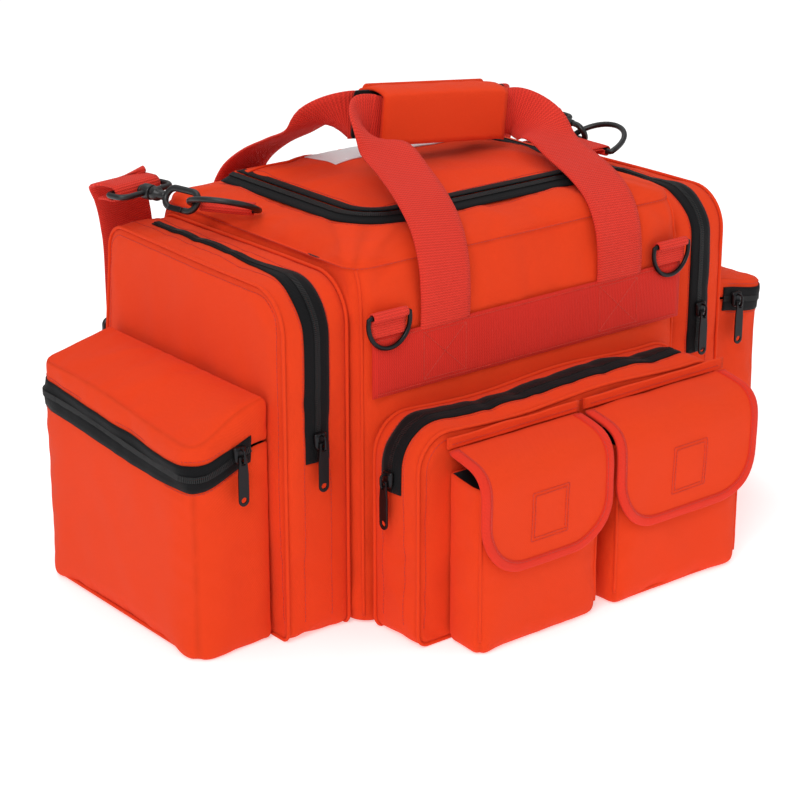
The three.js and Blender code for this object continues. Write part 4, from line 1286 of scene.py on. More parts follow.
def legStations(side):
    s = loopShape
    slope = math.tan(math.radians(s["tilt"]))
    rows = [(Vector((side * s["spread"], s["startY"] + inward, s["startZ"] + drop)),
             Vector((-side, 0, 0)), 0.050) for inward, drop in s["foot"]]
    for inward, rise, share, past, twist, width in s["path"]:
        top = s["gripX"] + side * (s["gripLength"] / 2 + past / 1000)
        x = mix(side * s["spread"], top, share)
        sway = share * slope * (x - s["gripX"])
        angle = math.radians(twist)
        rows.append((Vector((x, s["startY"] + inward / 1000, s["startZ"] + rise / 1000 + sway)),
                     Vector((-side * math.cos(angle), 0, -math.sin(angle))), width / 1000))
    return rows


def carryLoop(name, face):
    s = loopShape
    slope = math.tan(math.radians(s["tilt"]))
    core = []
    for side in (-1, 1):
        reach = side * (s["gripLength"] / 2 - 0.012)
        core.append((Vector((s["gripX"] + reach, s["gripY"], s["gripZ"] + slope * reach)),
                     Vector((0, 0, -1)), 0.038))
    stations = legStations(-1) + core + list(reversed(legStations(1)))
    if face > 0:
        stations = [(Vector((p.x, -p.y, p.z)), across, w) for p, across, w in stations]
    skin = Skin()
    webbingStrip(skin, stations, s["thickness"], 5)
    return skin.finish(name, "webbing")


def flatBand(name, face):
    s = bands
    count = 60
    rows = []
    for k in range(count + 1):
        x = mix(-s["x"], s["x"], k / count)
        pull = 0.0003 * noise.noise(Vector((x * 60, face * 5, 0)))
        rows.append((Vector((x, face * (s["y"] + pull), (s["low"] + s["high"]) / 2)),
                     Vector((0, 0, 1)), s["high"] - s["low"]))
    skin = Skin()
    webbingStrip(skin, rows, s["thickness"], 1)
    return skin.finish(name, "band")


def bandStitches(face):
    s = bands
    out = Vector((0, face, 0))
    y = face * (s["y"] + s["thickness"] / 2 + 0.0001)
    lines = []
    x, a, b = s["x"] - s["end"], s["crossHalf"], s["crossTall"]
    for z in (s["low"] + s["edge"], s["high"] - s["edge"]):
        lines.append(([Vector((-x, y, z)), Vector((x, y, z))], [out, out], False))
    middle = (s["low"] + s["high"]) / 2
    for side in (-1, 1):
        centre = Vector((side * loopShape["spread"], y, middle))
        lines.append((*crossedBox(centre, Vector((1, 0, 0)), up, a, b, out), False))
        lines += [([centre + Vector((-a, 0, -b * slant)), centre + Vector((a, 0, b * slant))],
                   [out, out], False) for slant in (1, -1)]
    return lines


for label, face in (("front", -1), ("rear", 1)):
    settle(flatBand(f"{label}_band_webbing", face), "bag", f"{label}_band")
    loopPiece = carryLoop(f"{label}_loop_webbing", face)
    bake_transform(loopPiece)
    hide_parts(f"{label}_loop")
    sew(f"{label}_band_stitches", "bag", bandStitches(face))


gripStrip = {"centre": (0.014, 0.0045, 0.370), "length": 0.163, "height": 0.040, "half": 0.0014,
             "tilt": 6.0}


def hookStrip():  # the stiff strip between the grip's two panels
    centre, half = gripStrip["centre"], gripStrip["half"]
    a, b = gripStrip["length"] / 2, gripStrip["height"] / 2
    turn = math.radians(gripStrip["tilt"])
    rings = []
    for depth, inset in ((-1, 0.0006), (-0.5, 0), (0.5, 0), (1, 0.0006)):
        outline = roundOutline(-a + inset, a - inset, -b + inset, b - inset, 0.003, 30, 9)
        rings.append([tilted(centre, p, q, depth * half, turn) for p, q in outline])
    skin = Skin()
    skin.ends(rings, 36, 15, (0, 2))
    return skin.finish("grip_strip", "hookTape")


settle(hookStrip(), "rear_handle", "grip_hook_strip")

wrap = {"front": -0.0168, "rear": 0.0172, "thickness": 0.0022, "drop": 0.0405, "length": 0.134,
        "columns": 27}


def gripWrap():  # cloth folded over both panels from the front one, closing on the rear one
    s = wrap
    tilt = math.radians(gripStrip["tilt"])
    x, level = loopShape["gripX"], loopShape["gripZ"]
    middle, half = level + 0.0200, (s["rear"] - s["front"]) / 2
    centreY = (s["rear"] + s["front"]) / 2
    skin = Skin()
    profile = [(s["front"], middle - s["drop"] * (1 - k / 9)) for k in range(9)]
    profile += [(centreY - half * math.cos(a), middle + 0.0042 * math.sin(a))
                for a in (math.pi * k / 12 for k in range(13))]
    profile += [(s["rear"], middle - s["drop"] * 0.5 * k / 5) for k in range(1, 6)]
    rows, uvs = [], []
    line = [Vector((0, y, z)) for y, z in profile]
    along = lengthsAlong(line)
    for j, point in enumerate(line):
        row, uv = [], []
        for i in range(s["columns"]):
            share = i / (s["columns"] - 1)
            q = mix(-s["length"] / 2, s["length"] / 2, share)
            pull = 0.0009 * noise.noise(Vector((q * 55, j * 0.35, 4.2)))
            edge = 0.0012 * (abs(2 * share - 1) ** 12)
            lift = point.z - level + pull - edge
            row.append(tilted((x, 0, level), q, lift, point.y, tilt))
            uv.append((q, along[j]))
        rows.append(row)
        uvs.append(uv)
    skin.grid(rows, uvs)
    return thickened(skin.finish("grip_wrap_cloth", "cloth"), s["thickness"], None, 0)


settle(gripWrap(), "front_handle")


def layOn(tree, point, out, lift, reach=0.03):  # the point moved on to the cloth
    hit = tree.ray_cast(point + out * reach, -out, reach * 2)[0]
    return (hit if hit else point) + out * lift


def padStitches(name, inset):  # one sewn line round a pad, on its outer face
    s = pads[name]
    tree = surfaceOf(found(name + "_cloth"))
    face = -1 if name == "grip_front" else 1
    out = Vector((0, face, 0))
    tilt = math.radians(s["tilt"])
    outline = roundOutline(-s["length"] / 2 + inset, s["length"] / 2 - inset,
                           -s["height"] / 2 + inset, s["height"] / 2 - inset,
                           max(s["round"] - inset, 0.002), 30, 10)
    points = []
    for p, q in outline:
        points.append(layOn(tree, tilted(s["centre"], p, q, 0, tilt), out, 0.0001))
    return points, [out] * len(points), True


for label, body, inset in (("grip_front", "front_handle", 0.004),
                           ("grip_rear", "rear_handle", 0.004), ("shoulder_pad", "bag", 0.006)):
    sew(label + "_stitches", body, [padStitches(label, inset)])
print("bands, loops and grip ready")


# zips: woven tape, a coil of teeth, a slider and a pull
zipper = {
    "half": 0.0115, "gap": 0.0006, "lift": 0.0007, "thickness": 0.0008, "toothPitch": 0.00155,
    "tooth": (0.0050, 0.00090, 0.0012), "toothLift": 0.0016, "arch": 0.0006,
}


def tapeRibbon(name, rows):  # rows of points across the tape
    skin = Skin()
    along = lengthsAlong([row[0] for row in rows])
    uvs = [[((row[k] - row[0]).length, v) for k in range(len(row))]
           for row, v in zip(rows, along)]
    skin.grid(rows, uvs)
    return thickened(skin.finish(name, "tape"), zipper["thickness"], None, 0)


def zipParts(name, path, outs, across, cloth, widths, body, upperBody=None, nodes=()):
    # path, the way out of the cloth and the way across at each point, half widths per side
    z = zipper
    halves = ((-1, body, "lower"), (1, upperBody or body, "upper"))
    for sign, rider, part in halves:
        rows = []
        for at, out, sideways, (low, high) in zip(path, outs, across, widths):
            reach = high if sign > 0 else low
            row = []
            for share in (0.0, 0.33, 0.66, 1.0):
                place = at + sideways * (sign * mix(z["gap"], reach, share))
                row.append(layOn(cloth, place, out, z["lift"] + z["arch"] * (1 - share)))
            rows.append(row)
        piece = tapeRibbon(f"{name}_tape_{part}", rows)
        settle(piece, rider, *(nodes if sign < 0 else ()))
    guide = guideAlong([layOn(cloth, at, out, z["toothLift"]) for at, out in zip(path, outs)],
                       outs, z["toothPitch"])
    teeth = repeated(f"{name}_coil", "tooth", guide, *z["tooth"], "coil")
    settle(teeth, body)


def archPath(first, low, high, top, radius, end, bend=14, straight=0.004):
    # up a face, round the corner and along the top, in (along, height), with the way out
    rows = []
    count = int((top - radius - low) / straight)
    rows += [((first, mix(low, top - radius, k / count)), (-1, 0)) for k in range(count)]
    for k in range(bend + 1):
        a = math.pi - math.pi / 2 * k / bend
        rows.append(((first + radius + radius * math.cos(a), top - radius + radius * math.sin(a)),
                     (math.cos(a), math.sin(a))))
    count = int((end - high) / straight)
    rows += [((mix(high, end, k / count), top), (0, 1)) for k in range(1, count + 1)]
    return rows


tallZip = {"x": 0.2078, "low": 0.150, "end": 0.094, "narrow": 0.0045}
for label, side in sides.items():
    s = tallPocket
    arch = archPath(-s["y"], tallZip["low"], -s["y"] + s["radii"][3], s["height"],
                    s["radii"][3], tallZip["end"])
    under = surfaceOf(found(f"tall_pocket_cloth_{label}"))
    path = [tallSag(Vector((side * tallZip["x"], a, b)), label) for (a, b), _ in arch]
    outs = [Vector((0, a, b)) for _, (a, b) in arch]
    widths = []
    for (a, b), _ in arch:
        share = smooth(-s["y"] + 0.02, -s["y"] + 0.085, a)
        half = mix(zipper["half"], tallZip["narrow"], share)
        widths.append((half, half))
    across = [Vector((side, 0, 0))] * len(path)
    zipParts(f"tall_zip_{label}", path, outs, across, under, widths, "bag",
             nodes=(f"tall_zip_{label}",))

outerZip = {"start": 0.2585}
for label, side in sides.items():
    s = outerPocket
    r = s["radius"]
    line = []
    near, far, y = outerZip["start"], s["outer"] - r, s["y"]
    line += [((mix(near, far, k / 12), -y), (0, -1)) for k in range(12)]
    line += [((far + r * math.cos(a), -y + r + r * math.sin(a)), (math.cos(a), math.sin(a)))
             for a in (-math.pi / 2 + math.pi / 2 * k / 10 for k in range(10))]
    line += [((s["outer"], mix(-y + r, y - r, k / 50)), (1, 0)) for k in range(50)]
    line += [((far + r * math.cos(a), y - r + r * math.sin(a)), (math.cos(a), math.sin(a)))
             for a in (math.pi / 2 * k / 10 for k in range(10))]
    line += [((mix(far, near, k / 12), y), (0, 1)) for k in range(13)]
    under = surfaceOf(found(f"outer_pocket_cloth_{label}"), found(f"outer_lid_cloth_{label}"))
    path, outs = [], []
    for (a, b), (oa, ob) in line:
        at = Vector((side * a, b, 0))
        at.z = zipHeight(at, label)
        path.append(at)
        outs.append(Vector((side * oa, ob, 0)))
    widths = [(zipper["half"], zipper["half"] * 0.92)] * len(path)
    zipParts(f"outer_zip_{label}", path, outs, [up] * len(path), under, widths, "bag",
             f"outer_lid_{label}", (f"outer_zip_{label}",))

frontZip = {"y": -0.1711, "low": 0.127, "end": 0.136}
s = frontPocket
arch = archPath(-s["x"], frontZip["low"], -s["x"] + s["radii"][2], s["height"], s["radii"][2],
                frontZip["end"])
path = [frontSag(Vector((a, frontZip["y"], b))) for (a, b), _ in arch]
outs = [Vector((a, 0, b)) for _, (a, b) in arch]
zipParts("front_zip", path, outs, [Vector((0, -1, 0))] * len(path),
         surfaceOf(found("front_pocket_cloth")),
         [(zipper["half"], zipper["half"])] * len(path), "bag", nodes=("front_zip",))

# the lid's zip runs round three sides of the mouth
lidZip = {
    "out": 0.0048, "slope": 0.34, "height": 0.3207, "coilLift": 0.0021,
    "lower": (0.0008, 0.0045, 0.0080, 0.0118, 0.0152), "lowerLift": 0.0010,
    "upper": (-0.0008, -0.0040, -0.0072, -0.0104), "upperLift": 0.0018,
}


def mouthLine(offset, count=9):  # the mouth's edge, moved outwards, with the way outwards
    m = mouth
    x, front, r = m["x"] + offset, m["front"] - offset, m["radius"] + offset
    line = [(Vector((-x, mix(m["rear"] - 0.001, front + r, k / 34), 0)), Vector((-1, 0, 0)))
            for k in range(34)]
    for cx, start in ((-x + r, math.pi), (x - r, math.pi * 1.5)):
        if cx > 0:
            line += [(Vector((mix(-x + r, x - r, k / 40), front, 0)), Vector((0, -1, 0)))
                     for k in range(1, 40)]
        for k in range(count + 1):
            a = start + math.pi / 2 * k / count
            line.append((Vector((cx + r * math.cos(a), front + r + r * math.sin(a), 0)),
                         Vector((math.cos(a), math.sin(a), 0))))
    line += [(Vector((x, mix(front + r, m["rear"] - 0.001, k / 34), 0)), Vector((1, 0, 0)))
             for k in range(1, 35)]
    return line


def lidZipHeight(offset):
    s = lidZip
    return s["height"] - s["slope"] * max(offset, 0) + 0.0002


def lidTape(name, offsets, lift):
    lines = [mouthLine(offset) for offset in offsets]
    rows = [[line[k][0] + up * (lidZipHeight(offset) + lift)
             for line, offset in zip(lines, offsets)] for k in range(len(lines[0]))]
    return tapeRibbon(name, rows)


for part, body, node in (("lower", "bag", "lid_zip_body_half"),
                         ("upper", "lid", "lid_zip_lid_half")):
    settle(lidTape(f"lid_zip_tape_{part}", lidZip[part], lidZip[part + "Lift"]), body, node)
line = mouthLine(lidZip["out"])
tilt = math.atan(lidZip["slope"])
points = [p + up * (lidZipHeight(lidZip["out"]) + lidZip["coilLift"]) for p, _ in line]
outs = [(up * math.cos(tilt) + out * math.sin(tilt)).normalized() for _, out in line]
settle(repeated("lid_zip_coil", "tooth", guideAlong(points, outs, zipper["toothPitch"]),
                *zipper["tooth"], "coil"), "bag")
print("zips ready")

# sliders and pulls stand exactly on their solids
slider = {"width": 0.0110, "length": 0.0135, "base": 0.0004, "height": 0.0048, "bail": 0.0010,
          "bailTop": 0.0093}
pullTab = {"width": 0.0088, "neck": 0.0068, "length": 0.0418, "thick": 0.0015, "hole": 0.0029,
           "axis": 0.0068}


def toPlace(at, across, along, out):
    basis = (Vector(across), Vector(along), Vector(out))
    return lambda p: Vector(at) + basis[0] * p[0] + basis[1] * p[1] + basis[2] * p[2]


def sliderPiece(name, place):
    s = slider
    w, l = s["width"] / 2, s["length"] / 2
    skin = Skin()
    rings = []
    for z, shrink in ((s["base"], 0.0006), (s["base"] + 0.0006, 0.0), (s["height"] * 0.62, 0.0),
                      (s["height"] * 0.86, 0.0009), (s["height"], 0.0024)):
        outline = roundOutline(-w + shrink, w - shrink, -l + shrink, l - shrink,
                               [0.0040, 0.0040, 0.0016, 0.0016], 6, 8)
        rings.append([place((a * (1 - 0.12 * smooth(-l, l, -b)), b, z)) for a, b in outline])
    skin.ends(rings, 12, 14, (0, 1))
    top, foot = s["bailTop"], s["height"] - 0.0006
    bail = [Vector((0, -0.0050, foot)), Vector((0, -0.0050, top - 0.0018)),
            Vector((0, -0.0036, top)), Vector((0, 0, top + 0.0003)), Vector((0, 0.0036, top)),
            Vector((0, 0.0050, top - 0.0018)), Vector((0, 0.0050, foot))]
    tube(skin, [place(p) for p in spline(bail, 4)], s["bail"])
    return skin.finish(name, "metal")


def pullPiece(name, place):
    s = pullTab
    half, low = s["thick"] / 2, -s["length"] + s["thick"] / 2
    eye = [(-s["neck"] / 2, -0.0006), (-s["neck"] / 2 * 1.06, -0.0070),
           (-s["width"] / 2, -0.0150), (-s["width"] / 2, low + 0.0050)]
    foot = [(-s["width"] / 2 * math.cos(a), low + 0.0050 - 0.0046 * math.sin(a))
            for a in (math.pi * k / 10 for k in range(1, 10))]
    outline = eye + foot + [(-x, y) for x, y in reversed(eye)]
    slot = [(x * 0.6, y) for x, y in ((-s["neck"] / 2, -0.0013), (-s["neck"] / 2, -0.0074),
                                      (s["neck"] / 2, -0.0074), (s["neck"] / 2, -0.0013))]
    hole = [(s["hole"] * math.cos(a), low + 0.0052 + s["hole"] * 0.9 * math.sin(a))
            for a in (-2 * math.pi * k / 14 for k in range(14))]
    curve = bpy.data.curves.new(name, "CURVE")
    curve.dimensions = "2D"
    curve.fill_mode = "BOTH"
    curve.extrude = half - 0.0003
    curve.bevel_depth = 0.0003
    curve.bevel_resolution = 2
    for points in (outline, slot, hole):
        strip = curve.splines.new("POLY")
        strip.points.add(len(points) - 1)
        for point, (x, y) in zip(strip.points, points):
            point.co = (x, y, 0, 1)
        strip.use_cyclic_u = True
    holder = placed(name + "_curve", curve)
    bpy.context.view_layer.update()
    data = bpy.data.meshes.new_from_object(
        holder.evaluated_get(bpy.context.evaluated_depsgraph_get()))
    bpy.data.objects.remove(holder)
    for vertex in data.vertices:
        vertex.co = place((vertex.co.x, vertex.co.y, vertex.co.z + s["axis"]))
    piece = placed(name, data)
    work = bmesh.new()
    work.from_mesh(data)
    bmesh.ops.remove_doubles(work, verts=work.verts, dist=0.00001)
    bmesh.ops.recalc_face_normals(work, faces=work.faces)
    work.to_mesh(data)
    work.free()
    data.materials.clear()
    data.materials.append(finishes["metal"])
    piece["finish"] = "metal"
    return piece


zipEnds = {
    "lid_zip": ((0.1327, 0.076, 0.3198), (-1, 0, 0), (0, -1, 0), (0, 0, 1), "lid"),
    "front_zip": ((-0.1678, -0.17105, 0.138), (0, -1, 0), (0, 0, 1), (-1, 0, 0), "front"),
}
for label, side in sides.items():
    rise = {"left": 0.168, "right": 0.190}[label]
    zipEnds[f"tall_zip_{label}"] = ((side * 0.2078, -0.1318, rise), (1, 0, 0), (0, 0, 1),
                                    (0, -1, 0), "tall")
    zipEnds[f"outer_zip_{label}"] = (
        (side * 0.2716, -0.1148, outerPocket["zip"][label][0] - 0.003), (1, 0, 0), (0, 0, 1),
        (0, -1, 0), "outer")
for label, (at, across, along, out, family) in zipEnds.items():
    place = toPlace(at, across, along, out)
    tail = label.split("_zip")[1]
    settle(sliderPiece(label + "_slider_body", place), f"{family}_slider{tail}",
           label + "_slider")
    settle(pullPiece(label + "_pull_tab", place), f"{family}_pull{tail}", label + "_pull")
print("sliders ready")


# D-rings on folded webbing at the band's ends
smallRing = {"inside": 0.037, "drop": 0.027, "wire": 0.0019, "y": -0.1503, "z": 0.2633,
             "x": 0.152, "tab": 0.034, "foot": 0.2463, "fold": 0.0016}
bigRing = {"inside": 0.052, "drop": 0.034, "wire": 0.0025, "tilt": 25.0, "tab": 0.046,
           "fold": 0.0018}


def dLine(inside, drop, wire, steps=24):
    half, straight = inside / 2 + wire, drop * 0.2
    points = [(mix(half - 0.002, -half + 0.002, k / 6), 0) for k in range(7)]
    points.append((-half + 0.0004, -0.0006))
    points += [(half * math.cos(a), -straight + (drop - straight) * math.sin(a))
               for a in (math.pi + math.pi * k / steps for k in range(steps + 1))]
    points.append((half - 0.0004, -0.0006))
    return points


def foldedTab(name, width, wire, reach, fold, place):
    # the webbing goes up the cloth side, round the bar and down again behind
    skin = Skin()
    outer, inner = wire + 0.0007 + fold, wire + 0.0004
    middle = (outer + inner) / 2
    line = [Vector((-middle, 0, 0)), Vector((-middle, reach * 0.5, 0)),
            Vector((-middle, reach * 0.92, 0))]
    line += [Vector((middle * math.cos(a), reach + middle * math.sin(a), 0))
             for a in (math.pi - math.pi * 1.25 * k / 12 for k in range(1, 13))]
    line += [Vector((-middle + fold * 1.25, reach - middle * 1.15, 0)),
             Vector((-middle + fold * 1.12, reach * 0.2, 0)),
             Vector((-middle + fold * 1.10, 0, 0))]
    smoothLine = spline(line, 3)
    stations = [(place((0, p.y, p.x)), place((1, 0, 0)) - place((0, 0, 0)), width)
                for p in smoothLine]
    webbingStrip(skin, stations, fold * 0.92, 1)
    return skin.finish(name, "webbing")


for label, side in sides.items():
    s = smallRing
    place = toPlace((side * s["x"], s["y"], s["foot"]), (-1, 0, 0), (0, 0, 1), (0, -1, 0))
    settle(foldedTab(f"front_tab_{label}", s["tab"], s["wire"], s["z"] - s["foot"], s["fold"],
                     place), "bag", f"front_ring_tab_{label}")
    skin = Skin()
    tube(skin, [Vector((side * s["x"] + a, s["y"], s["z"] + b))
                for a, b in dLine(s["inside"], s["drop"], s["wire"])], s["wire"], True, 10)
    settle(skin.finish(f"front_d_ring_{label}", "metal"), f"front_ring_{label}",
           f"front_ring_{label}")

# end rings, snap hooks and the shoulder strap
hardware = {
    "left": {"ring": (-0.178, 0.028, 0.314), "turn": 33, "tab": 0.006, "hookTurn": 4},
    "right": {"ring": (0.198, 0.002, 0.311), "turn": 0, "tab": 0.030, "hookTurn": 0},
}
hook = {
    "width": 0.022, "rim": 0.0055, "nose": 0.009, "back": 0.032, "length": 0.055,
    "settle": 0.0025, "wire": 0.0028, "mouth": (0.006, 0.021), "lay": (0.12, 0.99, 0),
    "collar": ((0.0030, -0.0030), (0.0040, -0.0010), (0.0040, 0.0052), (0.0056, 0.0060),
               (0.0060, 0.0075), (0.0060, 0.0112), (0.0054, 0.0126), (0.0030, 0.0130)),
    "pin": ((0.0030, 0.0012), (0.0046, 0.0014), (0.0050, 0.0022), (0.0046, 0.0036),
            (0.0020, 0.0040)),
}
eye = {"width": 0.062, "depth": 0.021, "bar": 0.005, "from": 0.0454}


def turned(side, turn, vector):
    c, d = math.cos(math.radians(turn)), math.sin(math.radians(turn))
    outward, rearward, rise = vector
    return Vector((side * (outward * c + rearward * d), rearward * c - outward * d, rise))


def hookFrame(name):
    side, h = sides[name], hardware[name]
    outward, rearSide = turned(side, h["turn"], (1, 0, 0)), turned(side, h["turn"], (0, 1, 0))
    lean = math.radians(bigRing["tilt"])
    bow = outward * math.cos(lean) + up * math.sin(lean)
    half = bigRing["inside"] / 2 + bigRing["wire"]
    axis = turned(side, h["hookTurn"], hook["lay"]).normalized()
    crossing = (Vector(h["ring"]) + rearSide * (half - 0.001) + bow * (bigRing["drop"] * 0.4)
                - axis * hook["settle"])
    normal = bow - rearSide * 0.27
    normal = (normal - axis * normal.dot(axis)).normalized()
    spread = axis.cross(normal)
    bar = rearSide * side
    return {"crossing": crossing, "axis": axis, "normal": normal, "spread": spread, "bow": bow,
            "bar": bar, "outward": outward, "level": axis.cross(up)}


def lathe(skin, rows, place, around=20):  # rows of (radius, along)
    rings = [[place((r * math.cos(a), d, r * math.sin(a)))
              for a in (2 * math.pi * k / around for k in range(around + 1))] for r, d in rows]
    uvs = [[(k / around * 0.03, d) for k in range(around + 1)] for _, d in rows]
    skin.grid(rings, uvs)
    skin.close(rings)


def snapHook(name, place):
    s = hook
    middle = s["width"] / 2 - s["rim"] / 2
    low, high = -s["nose"] + s["rim"] / 2, s["back"] - s["rim"] / 2
    points = [Vector((-middle, s["mouth"][0] - 0.0005, 0))]
    points += [Vector((middle * math.cos(a), low + middle + middle * math.sin(a), 0))
               for a in (math.pi + math.pi * k / 14 for k in range(15))]
    points += [Vector((middle, mix(low + middle, high - middle, k / 4), 0)) for k in (1, 2, 3)]
    points += [Vector((middle * math.cos(a), high - middle + middle * math.sin(a), 0))
               for a in (math.pi * k / 14 for k in range(15))]
    points.append(Vector((-middle, s["mouth"][1] + 0.0003, 0)))
    skin = Skin()

    def swell(share):
        return s["wire"] * (0.92 + 0.1 * math.sin(math.pi * share))

    tube(skin, [place(p) for p in points], swell, False, 12)
    lathe(skin, [(r, s["back"] + d) for r, d in s["collar"]]
          + [(r, s["length"] + d) for r, d in s["pin"]], place)
    return skin.finish(name, "plastic")


def gateBar(name, place):
    s = hook
    half = s["width"] / 2
    low, high = -half + 0.0004, -half + s["rim"] - 0.0006
    end = (high - low) / 2
    rings = []
    for z, inset in ((-0.0026, 0.0005), (-0.0021, 0), (0.0021, 0), (0.0026, 0.0005)):
        outline = roundOutline(low + inset, high - inset, s["mouth"][0] + 0.0005 + inset,
                               s["mouth"][1] - 0.0003 - inset,
                               [0.0006, 0.0006, end - 0.0006, end - 0.0006], 4, 10)
        rings.append([place((a, b, z)) for a, b in outline])
    skin = Skin()
    skin.ends(rings, 10, 16, (0, 1))
    return skin.finish(name, "metal")


def eyeFrame(name, place):
    s = eye
    bar = s["bar"] / 2
    near, high = s["from"] + 0.0048, s["from"] + s["depth"] + 0.0040 - bar
    outline = roundOutline(-s["width"] / 2 + bar, s["width"] / 2 - bar, near, high,
                           [0.008, 0.008, 0.003, 0.003], 10, 4, 4)
    skin = Skin()
    tube(skin, [place((a, b, 0)) for a, b in outline], bar, True, 10)
    lathe(skin, [(0.0036, s["from"]), (0.0060, s["from"]), (0.0065, s["from"] + 0.0008),
                 (0.0065, s["from"] + 0.0088), (0.0060, s["from"] + 0.0097),
                 (0.0036, s["from"] + 0.0097), (0.0036, s["from"])], place)
    return skin.finish(name, "plastic")


strap = {"hang": 0.156, "legs": (-0.193, 0.205), "bottom": 0.040, "bend": 0.112,
         "straight": 0.168, "thickness": 0.0024, "width": 0.050}
strapEnds = {}
for label, side in sides.items():
    f, h = hookFrame(label), hardware[label]
    place = toPlace(f["crossing"], f["spread"], f["axis"], f["normal"])
    settle(snapHook(f"snap_hook_body_{label}", place), f"snap_hook_{label}",
           f"snap_hook_{label}")
    settle(gateBar(f"snap_gate_bar_{label}", place), f"snap_gate_{label}", f"snap_gate_{label}")
    flat = toPlace(f["crossing"], f["level"], f["axis"], up)
    settle(eyeFrame(f"strap_eye_{label}", flat), "bag", f"hook_eye_{label}")
    skin = Skin()
    ring = toPlace(h["ring"], f["bar"], -f["bow"], f["bar"].cross(-f["bow"]))
    tube(skin, [ring((a, b, 0)) for a, b in
                dLine(bigRing["inside"], bigRing["drop"], bigRing["wire"])], bigRing["wire"],
         True, 10)
    settle(skin.finish(f"end_d_ring_{label}", "plastic"), "bag", f"end_ring_{label}")
    # the tab lies flat, its webbing folded round the ring's bar
    across = up.cross(f["outward"])
    base = Vector(h["ring"]) - f["outward"] * h["tab"]
    tabPlace = toPlace(base, across, f["outward"], -up)
    settle(foldedTab(f"end_tab_{label}", bigRing["tab"], bigRing["wire"], h["tab"],
                     bigRing["fold"], tabPlace), "bag", f"end_ring_tab_{label}")
    strapEnds[label] = (f["crossing"] + f["axis"] * (eye["from"] + eye["depth"] + 0.0015),
                        f["axis"], f["level"])


def strapTop(name, sign):  # round the eye's bar, back over the pocket and down
    bar, axis, level = strapEnds[name]
    s = strap
    fold = 0.00375 + s["thickness"] / 2 + 0.0008
    line = [Vector((0.016, -fold - 0.0008, 0)), Vector((0.008, -fold, 0))]
    line += [Vector((fold * math.cos(a), fold * math.sin(a), 0))
             for a in (-math.pi / 2 - math.pi * k / 10 for k in range(11))]
    line += [Vector((0.009, fold, 0)), Vector((0.018, fold - 0.001, 0))]
    rows = [(bar + axis * p.x + up * p.y, level * sign, s["width"]) for p in line]
    x = s["legs"][0 if sign < 0 else 1]
    start = rows[-1][0]
    away = Vector((x - start.x, 0, 0))
    over = spline([start - axis * 0.012, start, start + axis * 0.010 + away * 0.3 + up * -0.006,
                   Vector((start.x + away.x * 0.6, 0.1465, start.z - 0.026)),
                   Vector((start.x + away.x * 0.9, 0.1525, start.z - 0.058)),
                   Vector((x, s["hang"], 0.220)), Vector((x, s["hang"], s["straight"]))], 6)
    over = evenly(over[6:], 0.009)[1:]
    across = Vector((sign, 0, 0))
    rows += [(p, (level * sign).lerp(across, min(k / 6, 1)).normalized(), s["width"])
             for k, p in enumerate(over, 1)]
    return rows


def shoulderStrap():
    s = strap
    left, right = strapTop("left", -1), strapTop("right", 1)
    cy = s["bottom"] + s["bend"]
    points = []
    for cx, start in ((s["legs"][0] + s["bend"], math.pi), (s["legs"][1] - s["bend"],
                                                           math.pi * 1.5)):
        points += [Vector((cx + s["bend"] * math.cos(a), s["hang"], cy + s["bend"] * math.sin(a)))
                   for a in (start + math.pi / 2 * k / 9 for k in range(10))]
    points = evenly(points, 0.012)
    low = []
    for i, at in enumerate(points):
        tangent = points[min(i + 1, len(points) - 1)] - points[max(i - 1, 0)]
        low.append((at, Vector((0, 1, 0)).cross(tangent.normalized()), s["width"]))
    skin = Skin()
    webbingStrip(skin, left + low + list(reversed(right)), s["thickness"], 3)
    return skin.finish("shoulder_strap_webbing", "webbing")


settle(shoulderStrap(), "bag", "shoulder_strap")
adjusterSize = {"x": -0.193, "z": (0.170, 0.196), "width": 0.060, "wire": 0.0026}


def adjusterFrame():
    s = adjusterSize
    half, bar = s["width"] / 2, s["wire"]
    skin = Skin()
    outline = roundOutline(-half + bar, half - bar, s["z"][0] + bar, s["z"][1] - bar, 0.004, 10, 4)
    tube(skin, [Vector((s["x"] + a, strap["hang"], b)) for a, b in outline], bar, True, 10)
    middle = sum(s["z"]) / 2
    for dy in (-0.0034, 0.0034):
        tube(skin, [Vector((s["x"] + mix(-half + bar, half - bar, k / 8), strap["hang"] + dy * (
            1 - abs(k / 4 - 1) ** 4), middle)) for k in range(9)], bar * 0.8, False, 10)
    return skin.finish("strap_adjuster_frame", "plastic")


settle(adjusterFrame(), "bag", "strap_adjuster")
print("clips and strap ready")


# piped seams and the rows of stitches beside them
piping = {"radius": 0.0015, "clear": 0.0003}


def pipe(name, body, lines, radius=None):  # lines of (points, closed)
    skin = Skin()
    radius = radius or piping["radius"]
    for points, closed in lines:
        points = [Vector((p.x, p.y, max(p.z, radius + piping["clear"]))) for p in points]
        tube(skin, points, radius, closed, 8)
    return settle(skin.finish(name, "cloth"), body)


def opened(points):  # a ring with its widest gap brought to the ends
    start = max(range(len(points)), key=lambda k: (points[k] - points[k - 1]).length)
    return points[start:] + points[:start]


def stitchesOn(tree, points, centre, lift=0.0002):  # sewn points laid on the cloth
    laid, outs = [], []
    for point in points:
        hit, normal, index, distance = tree.find_nearest(point)
        outward = normal if normal.dot(point - centre) > 0 else -normal
        laid.append(hit + outward * lift)
        outs.append(outward)
    return laid, outs


def sewnLine(tree, points, centre, closed=False):
    return (*stitchesOn(tree, points, centre), closed)


